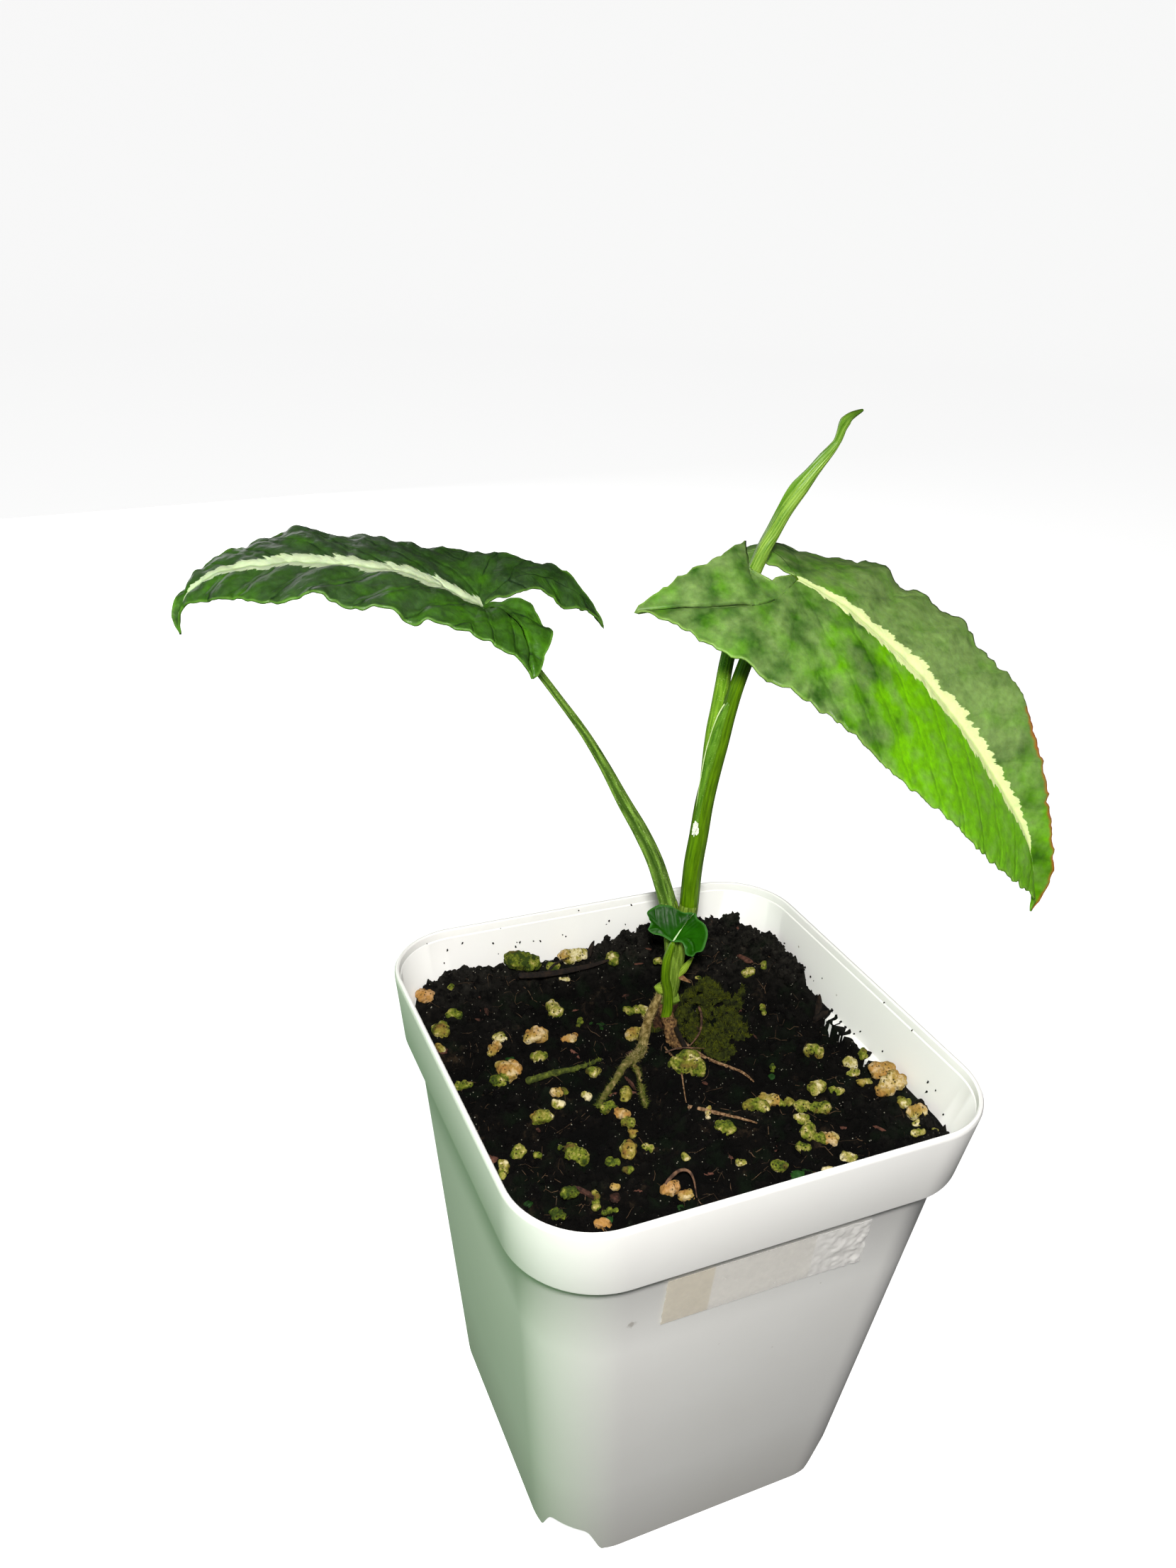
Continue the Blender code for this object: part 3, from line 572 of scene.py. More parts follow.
def finish_piece(
    obj: bpy.types.Object,
    slot: str,
    finishes: Sequence[Finish],
    *nodes: str,
    angle: float = SMOOTH_ANGLE,
) -> bpy.types.Object:
    """Dress a piece, shade it smooth, and tie it to the solids that it stands for.

    Args:
        obj: Piece, in its place.
        slot: Not used.
        finishes: Finishes in the order of its faces' indices.
        nodes: Solids that it replaces.
        angle: Angle between faces above which an edge stays sharp.

    Returns:
        The piece.
    """
    obj.data.materials.clear()
    for finish in finishes:
        obj.data.materials.append(finish.build())
    activate(obj)
    bpy.ops.object.shade_smooth_by_angle(angle=angle)
    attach(obj, BODY)
    if nodes:
        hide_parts(*nodes)
    log.info("%s: %d faces", obj.name, len(obj.data.polygons))
    return obj


def lumpy_ball(
    name: str, detail: int, rough: float, seed: int, fine: float = 1.6
) -> bpy.types.Object:
    """Model one lump about a unit across, from a ball whose surface is pushed in and out.

    Args:
        name: Name of the object.
        detail: Number of subdivisions of the ball.
        rough: Greatest push, as a share of the radius.
        seed: Seed of the lump's form.
        fine: Number of swellings over the radius.

    Returns:
        The lump, centred on its origin.
    """
    deselect_all()
    bpy.ops.mesh.primitive_ico_sphere_add(subdivisions=detail, radius=0.5)
    obj = bpy.context.object
    obj.name = obj.data.name = name
    shift = Vector((seed * 3.7, seed * 1.3, -seed * 2.9))
    for vert in obj.data.vertices:
        large = noise.noise(vert.co * 2 * fine + shift)
        small = noise.noise(vert.co * 5 * fine + shift)
        vert.co *= 1 + rough * (large + 0.5 * small)
    return obj


# Finishes


def per(size: float) -> float:
    """Return the scale of a pattern whose cells are a real size in millimetres across."""
    return 1 / (size * MM)


@dataclass(frozen=True)
class Finish:
    """Surface of one real material, with the values that hold all over it."""

    name: str
    roughness: float
    ior: float = 1.45

    @cache
    def build(self) -> bpy.types.Material:
        """Make the material once, with all that paint gives on its shader.

        Returns:
            The material, the same one for each piece that asks.
        """
        material = bpy.data.materials.new(self.name)
        material.use_nodes = True
        tree = material.node_tree
        inputs = {"Roughness": self.roughness, "IOR": self.ior}
        inputs |= self.paint(partial(add_node, tree))
        for key, value in inputs.items():
            fill(tree.nodes["Principled BSDF"].inputs[key], value)
        return material

    def paint(self, node: NodeMaker) -> dict[str, object]:
        """Return the shader's inputs by name, each a value or an output."""
        raise NotImplementedError


@dataclass(frozen=True)
class MouldedPlastic(Finish):
    """Polypropylene, injection moulded: a satin white with faint flow marks, dust and scuffs,
    darker and browner towards the foot.
    """

    body: str = "#F3F3F0"
    shade: str = "#ECEBE7"
    dirt_and_foot_tone: str = "#8A7F6E"
    marks: Line = ()
    darker_below: float = 24.0

    def paint(self, node: NodeMaker) -> dict[str, object]:
        """Mix the white with its flow marks, dust specks and dark scuffs, and darken it towards the
        foot.

        Args:
            node: Adds a node to the material's tree.

        Returns:
            The shader's inputs by name.
        """
        where = node("TexCoord", out="Object")
        flow = node("TexNoise", where, per(22.2), 4)
        speck = node("MapRange", node("TexVoronoi", where, per(3.85)), 0.05, 0.09, 1, 0)
        few = node("MapRange", node("TexNoise", where, per(8.33), 1), 0.7, 0.74)
        brown_share = node("Math", speck, few, operation="MULTIPLY")
        # Darker and browner towards the foot, fading out a little way up the body.
        height = node("SeparateXYZ", where, out="Z")
        low = node("MapRange", height, 0, self.darker_below * MM, 0.2, 0)
        brown_share = node("Math", brown_share, low, operation="MAXIMUM")
        ragged = node("TexNoise", where, per(0.714), 3)
        for x, y, z, size in self.marks:
            away = node("VectorMath", where, place((x, y, z)), operation="DISTANCE")
            edge = node("Math", ragged, size * MM, away, operation="MULTIPLY_ADD")
            spot = node("MapRange", edge, size * MM * 0.9, size * MM * 1.25, 0.5, 0)
            brown_share = node("Math", brown_share, spot, operation="MAXIMUM")
        clean = node("Mix", flow, srgb(self.body), srgb(self.shade))
        satin = node("MapRange", flow, 0, 1, self.roughness - 0.06, self.roughness + 0.08)
        skin = node("TexNoise", where, per(1.11), 3)
        return {
            "Base Color": node("Mix", brown_share, clean, srgb(self.dirt_and_foot_tone)),
            "Roughness": satin,
            "Normal": node("Bump", Height=skin, Strength=0.08, Distance=0.1 * MM),
            "Subsurface Weight": 0.08,
            "Subsurface Radius": (1, 1, 1),
            "Subsurface Scale": 1.0 * MM,
        }


@dataclass(frozen=True)
class ClearFilm(Finish):
    """Polypropylene tape, clear and creased: sharp glints on it, and cloudy where it lifts."""

    tint: str = "#FFFDFA"
    cloud: str = "#EFE7D6"

    def paint(self, node: NodeMaker) -> dict[str, object]:
        """Cloud the film where it lifts, and let the rest show what is below.

        Args:
            node: Adds a node to the material's tree.

        Returns:
            The shader's inputs by name.
        """
        look = node("Attribute", attribute_name="tape_look")
        flap, veil = node("SeparateXYZ", look, out=("X", "Y"))
        blotch = node("TexNoise", node("TexCoord", out="Object"), per(2), 4)
        return {
            "Base Color": node("Mix", flap, srgb(self.tint), srgb(self.cloud)),
            "Alpha": node("Math", blotch, 0.25, veil, operation="MULTIPLY_ADD"),
        }


@dataclass(frozen=True)
class Peat(Finish):
    """Peat and composted bark: near black and crumbly, with brown shreds, algae, painted light on
    its higher heaps and bright painted glints.
    """

    black: str = "#040403"
    brown: str = "#0C0A08"
    shred: str = "#3A2F22"
    # Paler tone of the higher heaps: painted light, for the light that falls on them.
    dry: str = "#302E29"
    algae: str = "#0C170A"
    # Colour of the painted glints: bright specks standing in for sparkles of light.
    painted_glint: str = "#A8A594"
    # Heights over which the painted light on the heaps fades in.
    unlit_below: float = 92.0
    lit_above: float = 99.0

    def paint(self, node: NodeMaker) -> dict[str, object]:
        """Mottle the black with shreds and algae, paint light on the higher heaps, and dot it with
        painted glints.

        Args:
            node: Adds a node to the material's tree.

        Returns:
            The shader's inputs by name.
        """
        where = node("TexCoord", out="Object")
        crumb = node("TexNoise", where, per(1.92), 8, 0.72)
        both = node("Math", crumb, node("TexNoise", where, per(8.33), 3), operation="MULTIPLY")
        stops = ((0.18, srgb(self.black)), (0.33, srgb(self.brown)), (0.5, srgb(self.shred)))
        mossy = node("MapRange", node("TexNoise", where, per(6.25), 5), 0.52, 0.66, 0, 0.7)
        tinted = node("Mix", mossy, node("ValToRGB", both, stops=stops), srgb(self.algae))
        # Painted light: the higher heaps are paler, as where light falls on them.
        height = node("SeparateXYZ", where, out="Z")
        height_lit = node("MapRange", height, self.unlit_below * MM, self.lit_above * MM, 0, 1)
        painted_light_share = node("Math", height_lit, node("MapRange", crumb, 0.4, 0.7), operation="MULTIPLY")
        tinted = node("Mix", painted_light_share, tinted, srgb(self.dry))
        # Painted glints: sparse bright specks standing in for sparkles of light on the crumbs.
        bright = node("MapRange", node("TexVoronoi", where, per(1.11)), 0.08, 0.13, 0.8, 0)
        rare = node("MapRange", node("TexNoise", where, per(3.03), 2), 0.46, 0.54)
        bright = node("Math", bright, rare, operation="MULTIPLY")
        return {
            "Base Color": node("Mix", bright, tinted, srgb(self.painted_glint)),
            "Normal": node("Bump", Height=crumb, Strength=1.0, Distance=1.3 * MM),
            "Specular IOR Level": 0.12,
        }


@dataclass(frozen=True)
class ExpandedGlass(Finish):
    """Perlite, a popped volcanic glass: chalky and pitted, stained by green algae and by iron, with
    painted shade in its pits.
    """

    chalk: str = "#CABF96"
    cream: str = "#9A8F4C"
    algae: str = "#626C1C"
    deep: str = "#2A380E"
    rust: str = "#A2703C"
    # Dark colour painted into the pits as their shade.
    pit: str = "#1C1A0A"

    def paint(self, node: NodeMaker) -> dict[str, object]:
        """Stain the chalk by each grain's own shares of algae and rust, pit it, and paint shade
        into the pits.

        Args:
            node: Adds a node to the material's tree.

        Returns:
            The shader's inputs by name.
        """
        where = node("TexCoord", out="Object")
        algae, rust = (node("Attribute", attribute_name=name) for name in ("algae", "rust"))
        blots = node("TexNoise", where, per(2.38), 5, 0.7)
        green = node("Math", blots, 4.8, algae, operation="MULTIPLY_ADD")
        green = node("MapRange", green, 2.15, 3.6)
        tones = (self.chalk, self.cream, self.algae, self.deep)
        stops = tuple((stop, srgb(tone)) for stop, tone in zip((0, 0.25, 0.6, 1), tones))
        warm = node("TexNoise", where, per(4.76), 2)
        warm = node("Math", warm, 1.8, rust, operation="MULTIPLY_ADD")
        warm = node("MapRange", warm, 1.15, 1.8, 0, 0.8)
        stained = node("Mix", warm, node("ValToRGB", green, stops=stops), srgb(self.rust))
        # Pits: bumped in, and darkened in patches as painted shade.
        pits = node("TexVoronoi", where, per(0.769))
        dark = node("MapRange", pits, 0.18, 0.36, 0.95, 0)
        some = node("MapRange", node("TexNoise", where, per(2), 2), 0.4, 0.52)
        dark = node("Math", dark, some, operation="MULTIPLY")
        return {
            "Base Color": node("Mix", dark, stained, srgb(self.pit)),
            "Normal": node("Bump", Height=pits, Strength=0.8, Distance=0.3 * MM),
            "Specular IOR Level": 0.2,
        }


@dataclass(frozen=True)
class Fibrous(Finish):
    """Dead plant fibre such as bark, dry roots and moss: matt, and streaked between two tones."""

    dark: str = "#2A1B10"
    light: str = "#8A6A46"
    grain: float = 1.11
    far: str = ""
    turns: tuple[float, float] = (5.0, 9.0)

    def paint(self, node: NodeMaker) -> dict[str, object]:
        """Mottle the fibre between its tones, and change it along a root that greens.

        Args:
            node: Adds a node to the material's tree.

        Returns:
            The shader's inputs by name.
        """
        mottle = node("TexNoise", node("TexCoord", out="Object"), per(self.grain), 5)
        tone = node("Attribute", attribute_name="tone")
        amount = node("Math", tone, 0.35, mottle, operation="MULTIPLY_ADD")
        stops = ((0.4, srgb(self.dark)), (0.85, srgb(self.light)))
        colour = node("ValToRGB", amount, stops=stops)
        if self.far:
            reach = node("SeparateXYZ", node("Attribute", attribute_name="stalk_mm"), out="X")
            shade = node("Mix", mottle, srgb(self.far), colour)
            colour = node("Mix", node("MapRange", reach, *self.turns), colour, shade)
        return {
            "Base Color": colour,
            "Normal": node("Bump", Height=mottle, Strength=0.7, Distance=0.25 * MM),
            "Specular IOR Level": 0.25,
        }


@dataclass(frozen=True)
class StalkSkin(Finish):
    """Living stalk: waxy skin over fine lengthwise ribs, with pale breathing spots and, where
    asked, a painted shade line down its groove.
    """

    deep: str = "#3F6A12"
    light: str = "#7FAF2E"
    spot: str = "#C4D98A"
    spots: float = 0.3
    ribs: float = 14.0
    stains: tuple[tuple[float, float, str], ...] = ()
    # Angle round the stalk of a dark line of painted shade down its groove, or None.
    groove_shade_at: float | None = None

    def paint(self, node: NodeMaker) -> dict[str, object]:
        """Streak the skin lengthwise, dot it, paint shade down its groove, and rib it round the
        stalk.

        Args:
            node: Adds a node to the material's tree.

        Returns:
            The shader's inputs by name.
        """
        spot = node("Attribute", attribute_name="stalk_mm")
        reach, cosine, sine = node("SeparateXYZ", spot, out=("X", "Y", "Z"))
        streak = node("TexNoise", node("Mapping", spot, Scale=(0.09, 1.7, 1.7)), 2.2, 5)
        stops = ((0.34, srgb(self.deep)), (0.68, srgb(self.light)))
        colour = node("ValToRGB", streak, stops=stops)
        pores = node("TexVoronoi", node("TexCoord", out="Object"), per(0.455))
        pale = node("MapRange", pores, 0.12, 0.3, self.spots, 0)
        colour = node("Mix", pale, colour, srgb(self.spot))
        ragged = node("Math", streak, 1.5, reach, operation="MULTIPLY_ADD")
        for start, end, tone in self.stains:
            share = node("MapRange", ragged, start + 0.7, end + 0.7)
            colour = node("Mix", share, colour, srgb(tone))
        # Painted shade: a dark line along the groove at the given angle.
        if self.groove_shade_at is not None:
            facing = (0, math.cos(self.groove_shade_at), math.sin(self.groove_shade_at))
            near = node("VectorMath", spot, facing, operation="DOT_PRODUCT")
            near = node("MapRange", near, 0.93, 0.985, 0, 0.75)
            colour = node("Mix", near, colour, srgb(self.deep))
        angle = node("Math", sine, cosine, operation="ARCTAN2")
        wave = node("Math", angle, self.ribs, operation="MULTIPLY")
        wave = node("Math", wave, operation="COSINE")
        return {
            "Base Color": colour,
            "Normal": node("Bump", Height=wave, Strength=0.35, Distance=0.1 * MM),
            "Specular IOR Level": 0.25,
        }


@dataclass(frozen=True)
class LeafSkin(Finish):
    """Leaf blade: a satin cuticle, a pale ragged stripe, grey-green marbling, impressed veins,
    bright patches partly painted glow.
    """

    deep: str = "#1E4F18"
    lush_and_glow: str = "#2F6A1E"
    veil: str = "#3C5238"
    stripe: str = "#CDDDB0"
    rim: str = "#5F9A2E"
    vein: str = "#142E12"
    rust: str = "#9A5A22"
    rim_share: float = 0.5
    vein_share: float = 0.7
    ragged: float = 0.35
    marbling: float = 0.5
    relief: float = 0.55
    tooth_gap: float = 1.0
    shine: float = 0.35

    def paint(self, node: NodeMaker) -> dict[str, object]:
        """Paint the blade by its midrib, veins and margin, from the sheet's own distances.

        Args:
            node: Adds a node to the material's tree.

        Returns:
            The shader's inputs by name.
        """
        where = node("TexCoord", out="Object")
        distances, looks, tones = (
            node("Attribute", attribute_name=name) for name in ("leaf_mm", "leaf_look", "leaf_tone")
        )
        across, margin = node("SeparateXYZ", distances, out=("Y", "Z"))
        ratio, phase, rusty = node("SeparateXYZ", looks, out=("X", "Y", "Z"))
        lush_and_glow, veiled = node("SeparateXYZ", tones, out=("X", "Y"))
        aside = node("Math", across, operation="ABSOLUTE")
        patches = node("TexNoise", where, per(8.33), 4)
        clouds = node("TexNoise", where, per(3.85), 4)
        mottle = node("TexNoise", where, per(1.61), 6, 0.62)
        # Bright patches, partly the leaf's own green and partly painted glow of light through it,
        # and dull patches
        lively = node("Math", patches, 2.4, lush_and_glow, operation="MULTIPLY_ADD")
        lively = node("MapRange", lively, 1.15, 2.0)
        base = node("Mix", lively, srgb(self.deep), srgb(self.lush_and_glow))
        wander = node("Math", patches, 0.5, phase, operation="MULTIPLY_ADD")
        away = node("Math", wander, 0.5, operation="PINGPONG")
        banded = node("Math", away, 0.5, veiled, operation="MULTIPLY_ADD")
        dull = node("Math", clouds, 1.6, banded, operation="MULTIPLY_ADD")
        dull = node("MapRange", dull, 0.95, 1.75, 0, 0.9)
        base = node("Mix", dull, base, srgb(self.veil))
        light = node("MapRange", mottle, 0.3, 0.7, 1 - self.marbling, 1 + self.marbling)
        base = node("Mix", 1.0, base, light, blend_type="MULTIPLY")
        # Side veins
        line = node("MapRange", away, 0.012, 0.045, self.vein_share, 0)
        line = node("Math", line, node("MapRange", clouds, 0.38, 0.6), operation="MULTIPLY")
        base = node("Mix", line, base, srgb(self.vein))
        # Pale stripe with ragged sides
        slanted = node("CombineXYZ", phase, node("Math", across, 0.02, operation="MULTIPLY"))
        tooth = node("TexNoise", slanted, 9 / self.tooth_gap, 3, 0.65)
        fray = node("Math", tooth, self.ragged * 3.6, ratio, operation="MULTIPLY_ADD")
        fray = node("Math", mottle, self.ragged * 1.2, fray, operation="MULTIPLY_ADD")
        middle = 1 + self.ragged * 2.4
        chalk = node("Mix", 0.3, srgb(self.stripe), light, blend_type="MULTIPLY")
        chalk = node("Mix", node("MapRange", aside, 0.1, 0.4, 0.35, 0), chalk, srgb(self.rim))
        striped = node("MapRange", fray, middle - 0.05, middle + 0.06, 1, 0)
        base = node("Mix", striped, base, chalk)
        # Margin, and the worn red along part of it
        fringe = node("Math", clouds, 0.8, margin, operation="MULTIPLY_ADD")
        fringe = node("MapRange", fringe, 0.5, 0.95, self.rim_share, 0)
        base = node("Mix", fringe, base, srgb(self.rim))
        worn = node("Math", clouds, 1.6, margin, operation="MULTIPLY_ADD")
        worn = node("Math", node("MapRange", worn, 0.9, 1.7, 1, 0), rusty, operation="MULTIPLY")
        # Fine net of veins, side veins and grain of the cuticle
        net = node("TexVoronoi", where, per(1.92), feature="DISTANCE_TO_EDGE")
        net = node("MapRange", net, 0, 0.2)
        sunk = node("MapRange", away, 0, 0.1)
        height = node("Math", net, 0.22, sunk, operation="MULTIPLY_ADD")
        height = node("Math", mottle, 0.6, height, operation="MULTIPLY_ADD")
        satin = node("MapRange", mottle, 0.2, 0.8, self.roughness - 0.06, self.roughness + 0.1)
        return {
            "Base Color": node("Mix", worn, base, srgb(self.rust)),
            "Normal": node("Bump", Height=height, Strength=self.relief, Distance=0.3 * MM),
            "Roughness": satin,
            "Specular IOR Level": self.shine,
            "Subsurface Weight": 0.12,
            "Subsurface Radius": (0.5, 1.0, 0.05),
            "Subsurface Scale": 0.8 * MM,
        }


@dataclass(frozen=True)
class FloorPaper(Finish):
    """Seamless paper, matt and nearly white, lit from within so that it stays pale."""

    glow: float = 0.85

    def paint(self, node: NodeMaker) -> dict[str, object]:
        """Tint the paper a little, and light it from within.

        Args:
            node: Adds a node to the material's tree.

        Returns:
            The shader's inputs by name.
        """
        tooth = node("TexNoise", node("TexCoord", out="Object"), per(16.7), 3)
        return {
            "Base Color": node("Mix", tooth, srgb("#FFFFFF"), srgb("#FAFAF9")),
            "Emission Color": srgb("#FFFFFF"),
            "Emission Strength": self.glow,
        }


# Pot


@dataclass
class NurseryPot:
    """Square pot with a rolled rim, a deep collar, a tapering body, four feet and a floor."""

    height: float = 108.2
    rim_width: float = 100.0
    rim_radius: float = 16.7
    collar: float = 16.1
    collar_width: float = 97.0
    collar_radius: float = 18.0
    top_width: float = 91.8
    top_radius: float = 15.9
    foot_width: float = 72.0
    foot_radius: float = 14.5
    wall: float = 1.3
    floor_low: float = 7.8
    floor_high: float = 9.3
    corner_steps: int = 18
    notch: Line = (
        (7.6, -1), (7.1, 0.3), (6.5, 1.4), (5.9, 3.2), (5, 5.7), (4.5, 6.7), (3.8, 7.4),
        (2.6, 7.62), (0.9, 7.68),
    )
    drain_diameter: float = 9.0
    drain_reach: float = 34.0
    scuffs: Line = (
        (-27.9, -44, 78.5, 1.5), (-7.3, -42.5, 63, 0.5), (14, -43.5, 72, 0.45),
        (-2, -40, 40, 0.4),
    )

    def width_at(self, height: float) -> float:
        """Return the width of the body at a height."""
        return spread((self.foot_width, self.top_width), height / (self.height - self.collar))

    def radius_at(self, height: float) -> float:
        """Return the radius of the body's corners at a height."""
        return spread((self.foot_radius, self.top_radius), height / (self.height - self.collar))

    def rings(self) -> list[list[Vector]]:
        """Give the pot's section as level rings.

        Returns:
            The rings from the floor's underside, over the foot, body, collar and rim, to the floor.
        """
        top = self.height - self.collar
        low, high = self.floor_low, self.floor_high
        rim = self.height
        body = [(self.width_at(h), self.radius_at(h), h) for h in (0.5, 20, 45, 70, top - 0.25)]
        body_in, collar_in, rim_in = (
            width - 2 * self.wall
            for width in (self.width_at(top), self.collar_width, self.rim_width)
        )
        profile = [
            (self.width_at(low) - 2 * self.wall, self.radius_at(low) - self.wall, low),
            (self.foot_width - 2 * self.wall, self.foot_radius - self.wall, 0.0),
            (self.foot_width - 0.7, self.foot_radius - 0.35, 0.0),
            *body,
            (self.width_at(top) + 0.25, self.top_radius + 0.1, top - 0.02),
            (self.collar_width - 0.7, self.collar_radius - 0.35, top),
            (self.collar_width - 0.15, self.collar_radius - 0.1, top + 0.12),
            (self.collar_width + 0.05, self.collar_radius, top + 0.45),
            (self.rim_width - 0.1, self.rim_radius, rim - 1.1),
            (self.rim_width - 0.15, self.rim_radius, rim - 0.55),
            (self.rim_width - 0.55, self.rim_radius - 0.2, rim - 0.16),
            (self.rim_width - 1.2, self.rim_radius - 0.5, rim),
            (rim_in + 0.9, self.rim_radius - self.wall + 0.4, rim - 0.02),
            (rim_in + 0.35, self.rim_radius - self.wall + 0.15, rim - 0.3),
            (rim_in + 0.1, self.rim_radius - self.wall, rim - 0.9),
            (rim_in, self.rim_radius - self.wall, rim - 1.9),
            (rim_in - 0.45, self.rim_radius - self.wall - 0.2, rim - 2.15),
            (collar_in - 0.3, self.collar_radius - self.wall, top + self.wall + 0.4),
            (collar_in - 1.0, self.collar_radius - self.wall - 0.4, top + self.wall),
            (body_in, self.top_radius - self.wall, top + self.wall - 0.2),
            (self.width_at(high) - 2 * self.wall, self.radius_at(high) - self.wall, high),
        ]
        return [rounded_square(*row, self.corner_steps) for row in profile]

    def notch_cutter(self, corner: int) -> bpy.types.Object:
        """Model the cutter that opens the skirt at one corner and leaves a foot on either side.

        Args:
            corner: Number of the corner.

        Returns:
            The cutter.
        """
        angle = math.radians(45 + 90 * corner)
        ahead = Vector((math.cos(angle), math.sin(angle), 0))
        aside = Vector((-ahead.y, ahead.x, 0))
        section = [*self.notch, *[(-u, z) for u, z in reversed(self.notch)]]
        rings = [[ahead * r + aside * u + Vector((0, 0, z)) for u, z in section] for r in (26, 58)]
        return sweep("notch", rings)

    def drain_cutter(self, corner: int) -> bpy.types.Object:
        """Model the cutter of the drain hole near one corner.

        Args:
            corner: Number of the corner.

        Returns:
            The cutter.
        """
        angle = math.radians(45 + 90 * corner)
        middle = Vector((math.cos(angle), math.sin(angle), 0)) * self.drain_reach
        radius = self.drain_diameter / 2
        hole = [FULL_TURN * k / 32 for k in range(32)]
        rings = [
            [middle + Vector((radius * math.cos(a), radius * math.sin(a), z)) for a in hole]
            for z in (self.floor_low - 1, self.floor_high + 1)
        ]
        return sweep("drain", rings)

    def build(self) -> None:
        """Model the pot, cut its notches and drain holes, and dress it."""
        pot = sweep("nursery_pot", self.rings())
        cutters = [make(c) for c in range(4) for make in (self.notch_cutter, self.drain_cutter)]
        for cutter in cutters:
            apply_modifier(pot, "BOOLEAN", operation="DIFFERENCE", solver="EXACT", object=cutter)
            bpy.data.objects.remove(cutter, do_unlink=True)
        plastic = MouldedPlastic("moulded_polypropylene", 0.38, 1.49, marks=self.scuffs)
        finish_piece(pot, "white_plastic", [plastic], "pot", angle=math.radians(32))


@dataclass
class LabelTape:
    """Strip of clear tape under the collar, flat on its left and creased on its right."""

    left: float = -21.9
    right: float = 21.9
    top: float = 88.0
    tall: float = 12.0
    thick: float = 0.08
    columns: int = 110
    rows: int = 34
    flat_until: float = 0.22
    clear_from: float = 0.72
    creased_from: float = 0.68
    least_gap: float = 0.18

    def build(self, pot: NurseryPot) -> None:
        """Model the strip on the pot's front face.

        Args:
            pot: Pot whose front face carries it.
        """
        tape = add_grid("label_tape_film", self.columns, self.rows)
        looks = []
        for vert in tape.data.vertices:
            u, v = (vert.co.x + 1) / 2, (vert.co.y + 1) / 2
            x = self.left + (self.right - self.left) * u
            z = self.top - self.tall * (1 - v)
            crease = max(0.0, (u - self.creased_from) / (1 - self.creased_from)) ** 0.6
            fold = noise.noise(Vector((x / 1.7, z / 2.6, 3)))
            fold += 0.6 * noise.noise(Vector((x / 0.8, z / 0.9, 8)))
            lift = 0.3 + 0.32 * crease * (fold + 0.5)
            lift += 0.03 * noise.noise(Vector((x / 4, z / 4, 1)))
            x += 0.25 * noise.noise(Vector((z / 1.5, 4, u * 2))) * (2 * abs(u - 0.5)) ** 6
            vert.co = place((x, -pot.width_at(z) / 2 - max(lift, self.least_gap), z))
            if u < self.flat_until:
                looks.append((1.0, 0.32, 0))
            elif u < self.clear_from:
                looks.append((0.25, 0.22, 0))
            else:
                looks.append((0.0, 0.3, 0))
        set_attribute(tape.data, "tape_look", looks)
        apply_modifier(tape, "SOLIDIFY", thickness=self.thick * MM, offset=0)
        finish_piece(tape, "clear_film", [ClearFilm("creased_clear_tape", 0.16, 1.5)], "label_tape")


# Potting mix


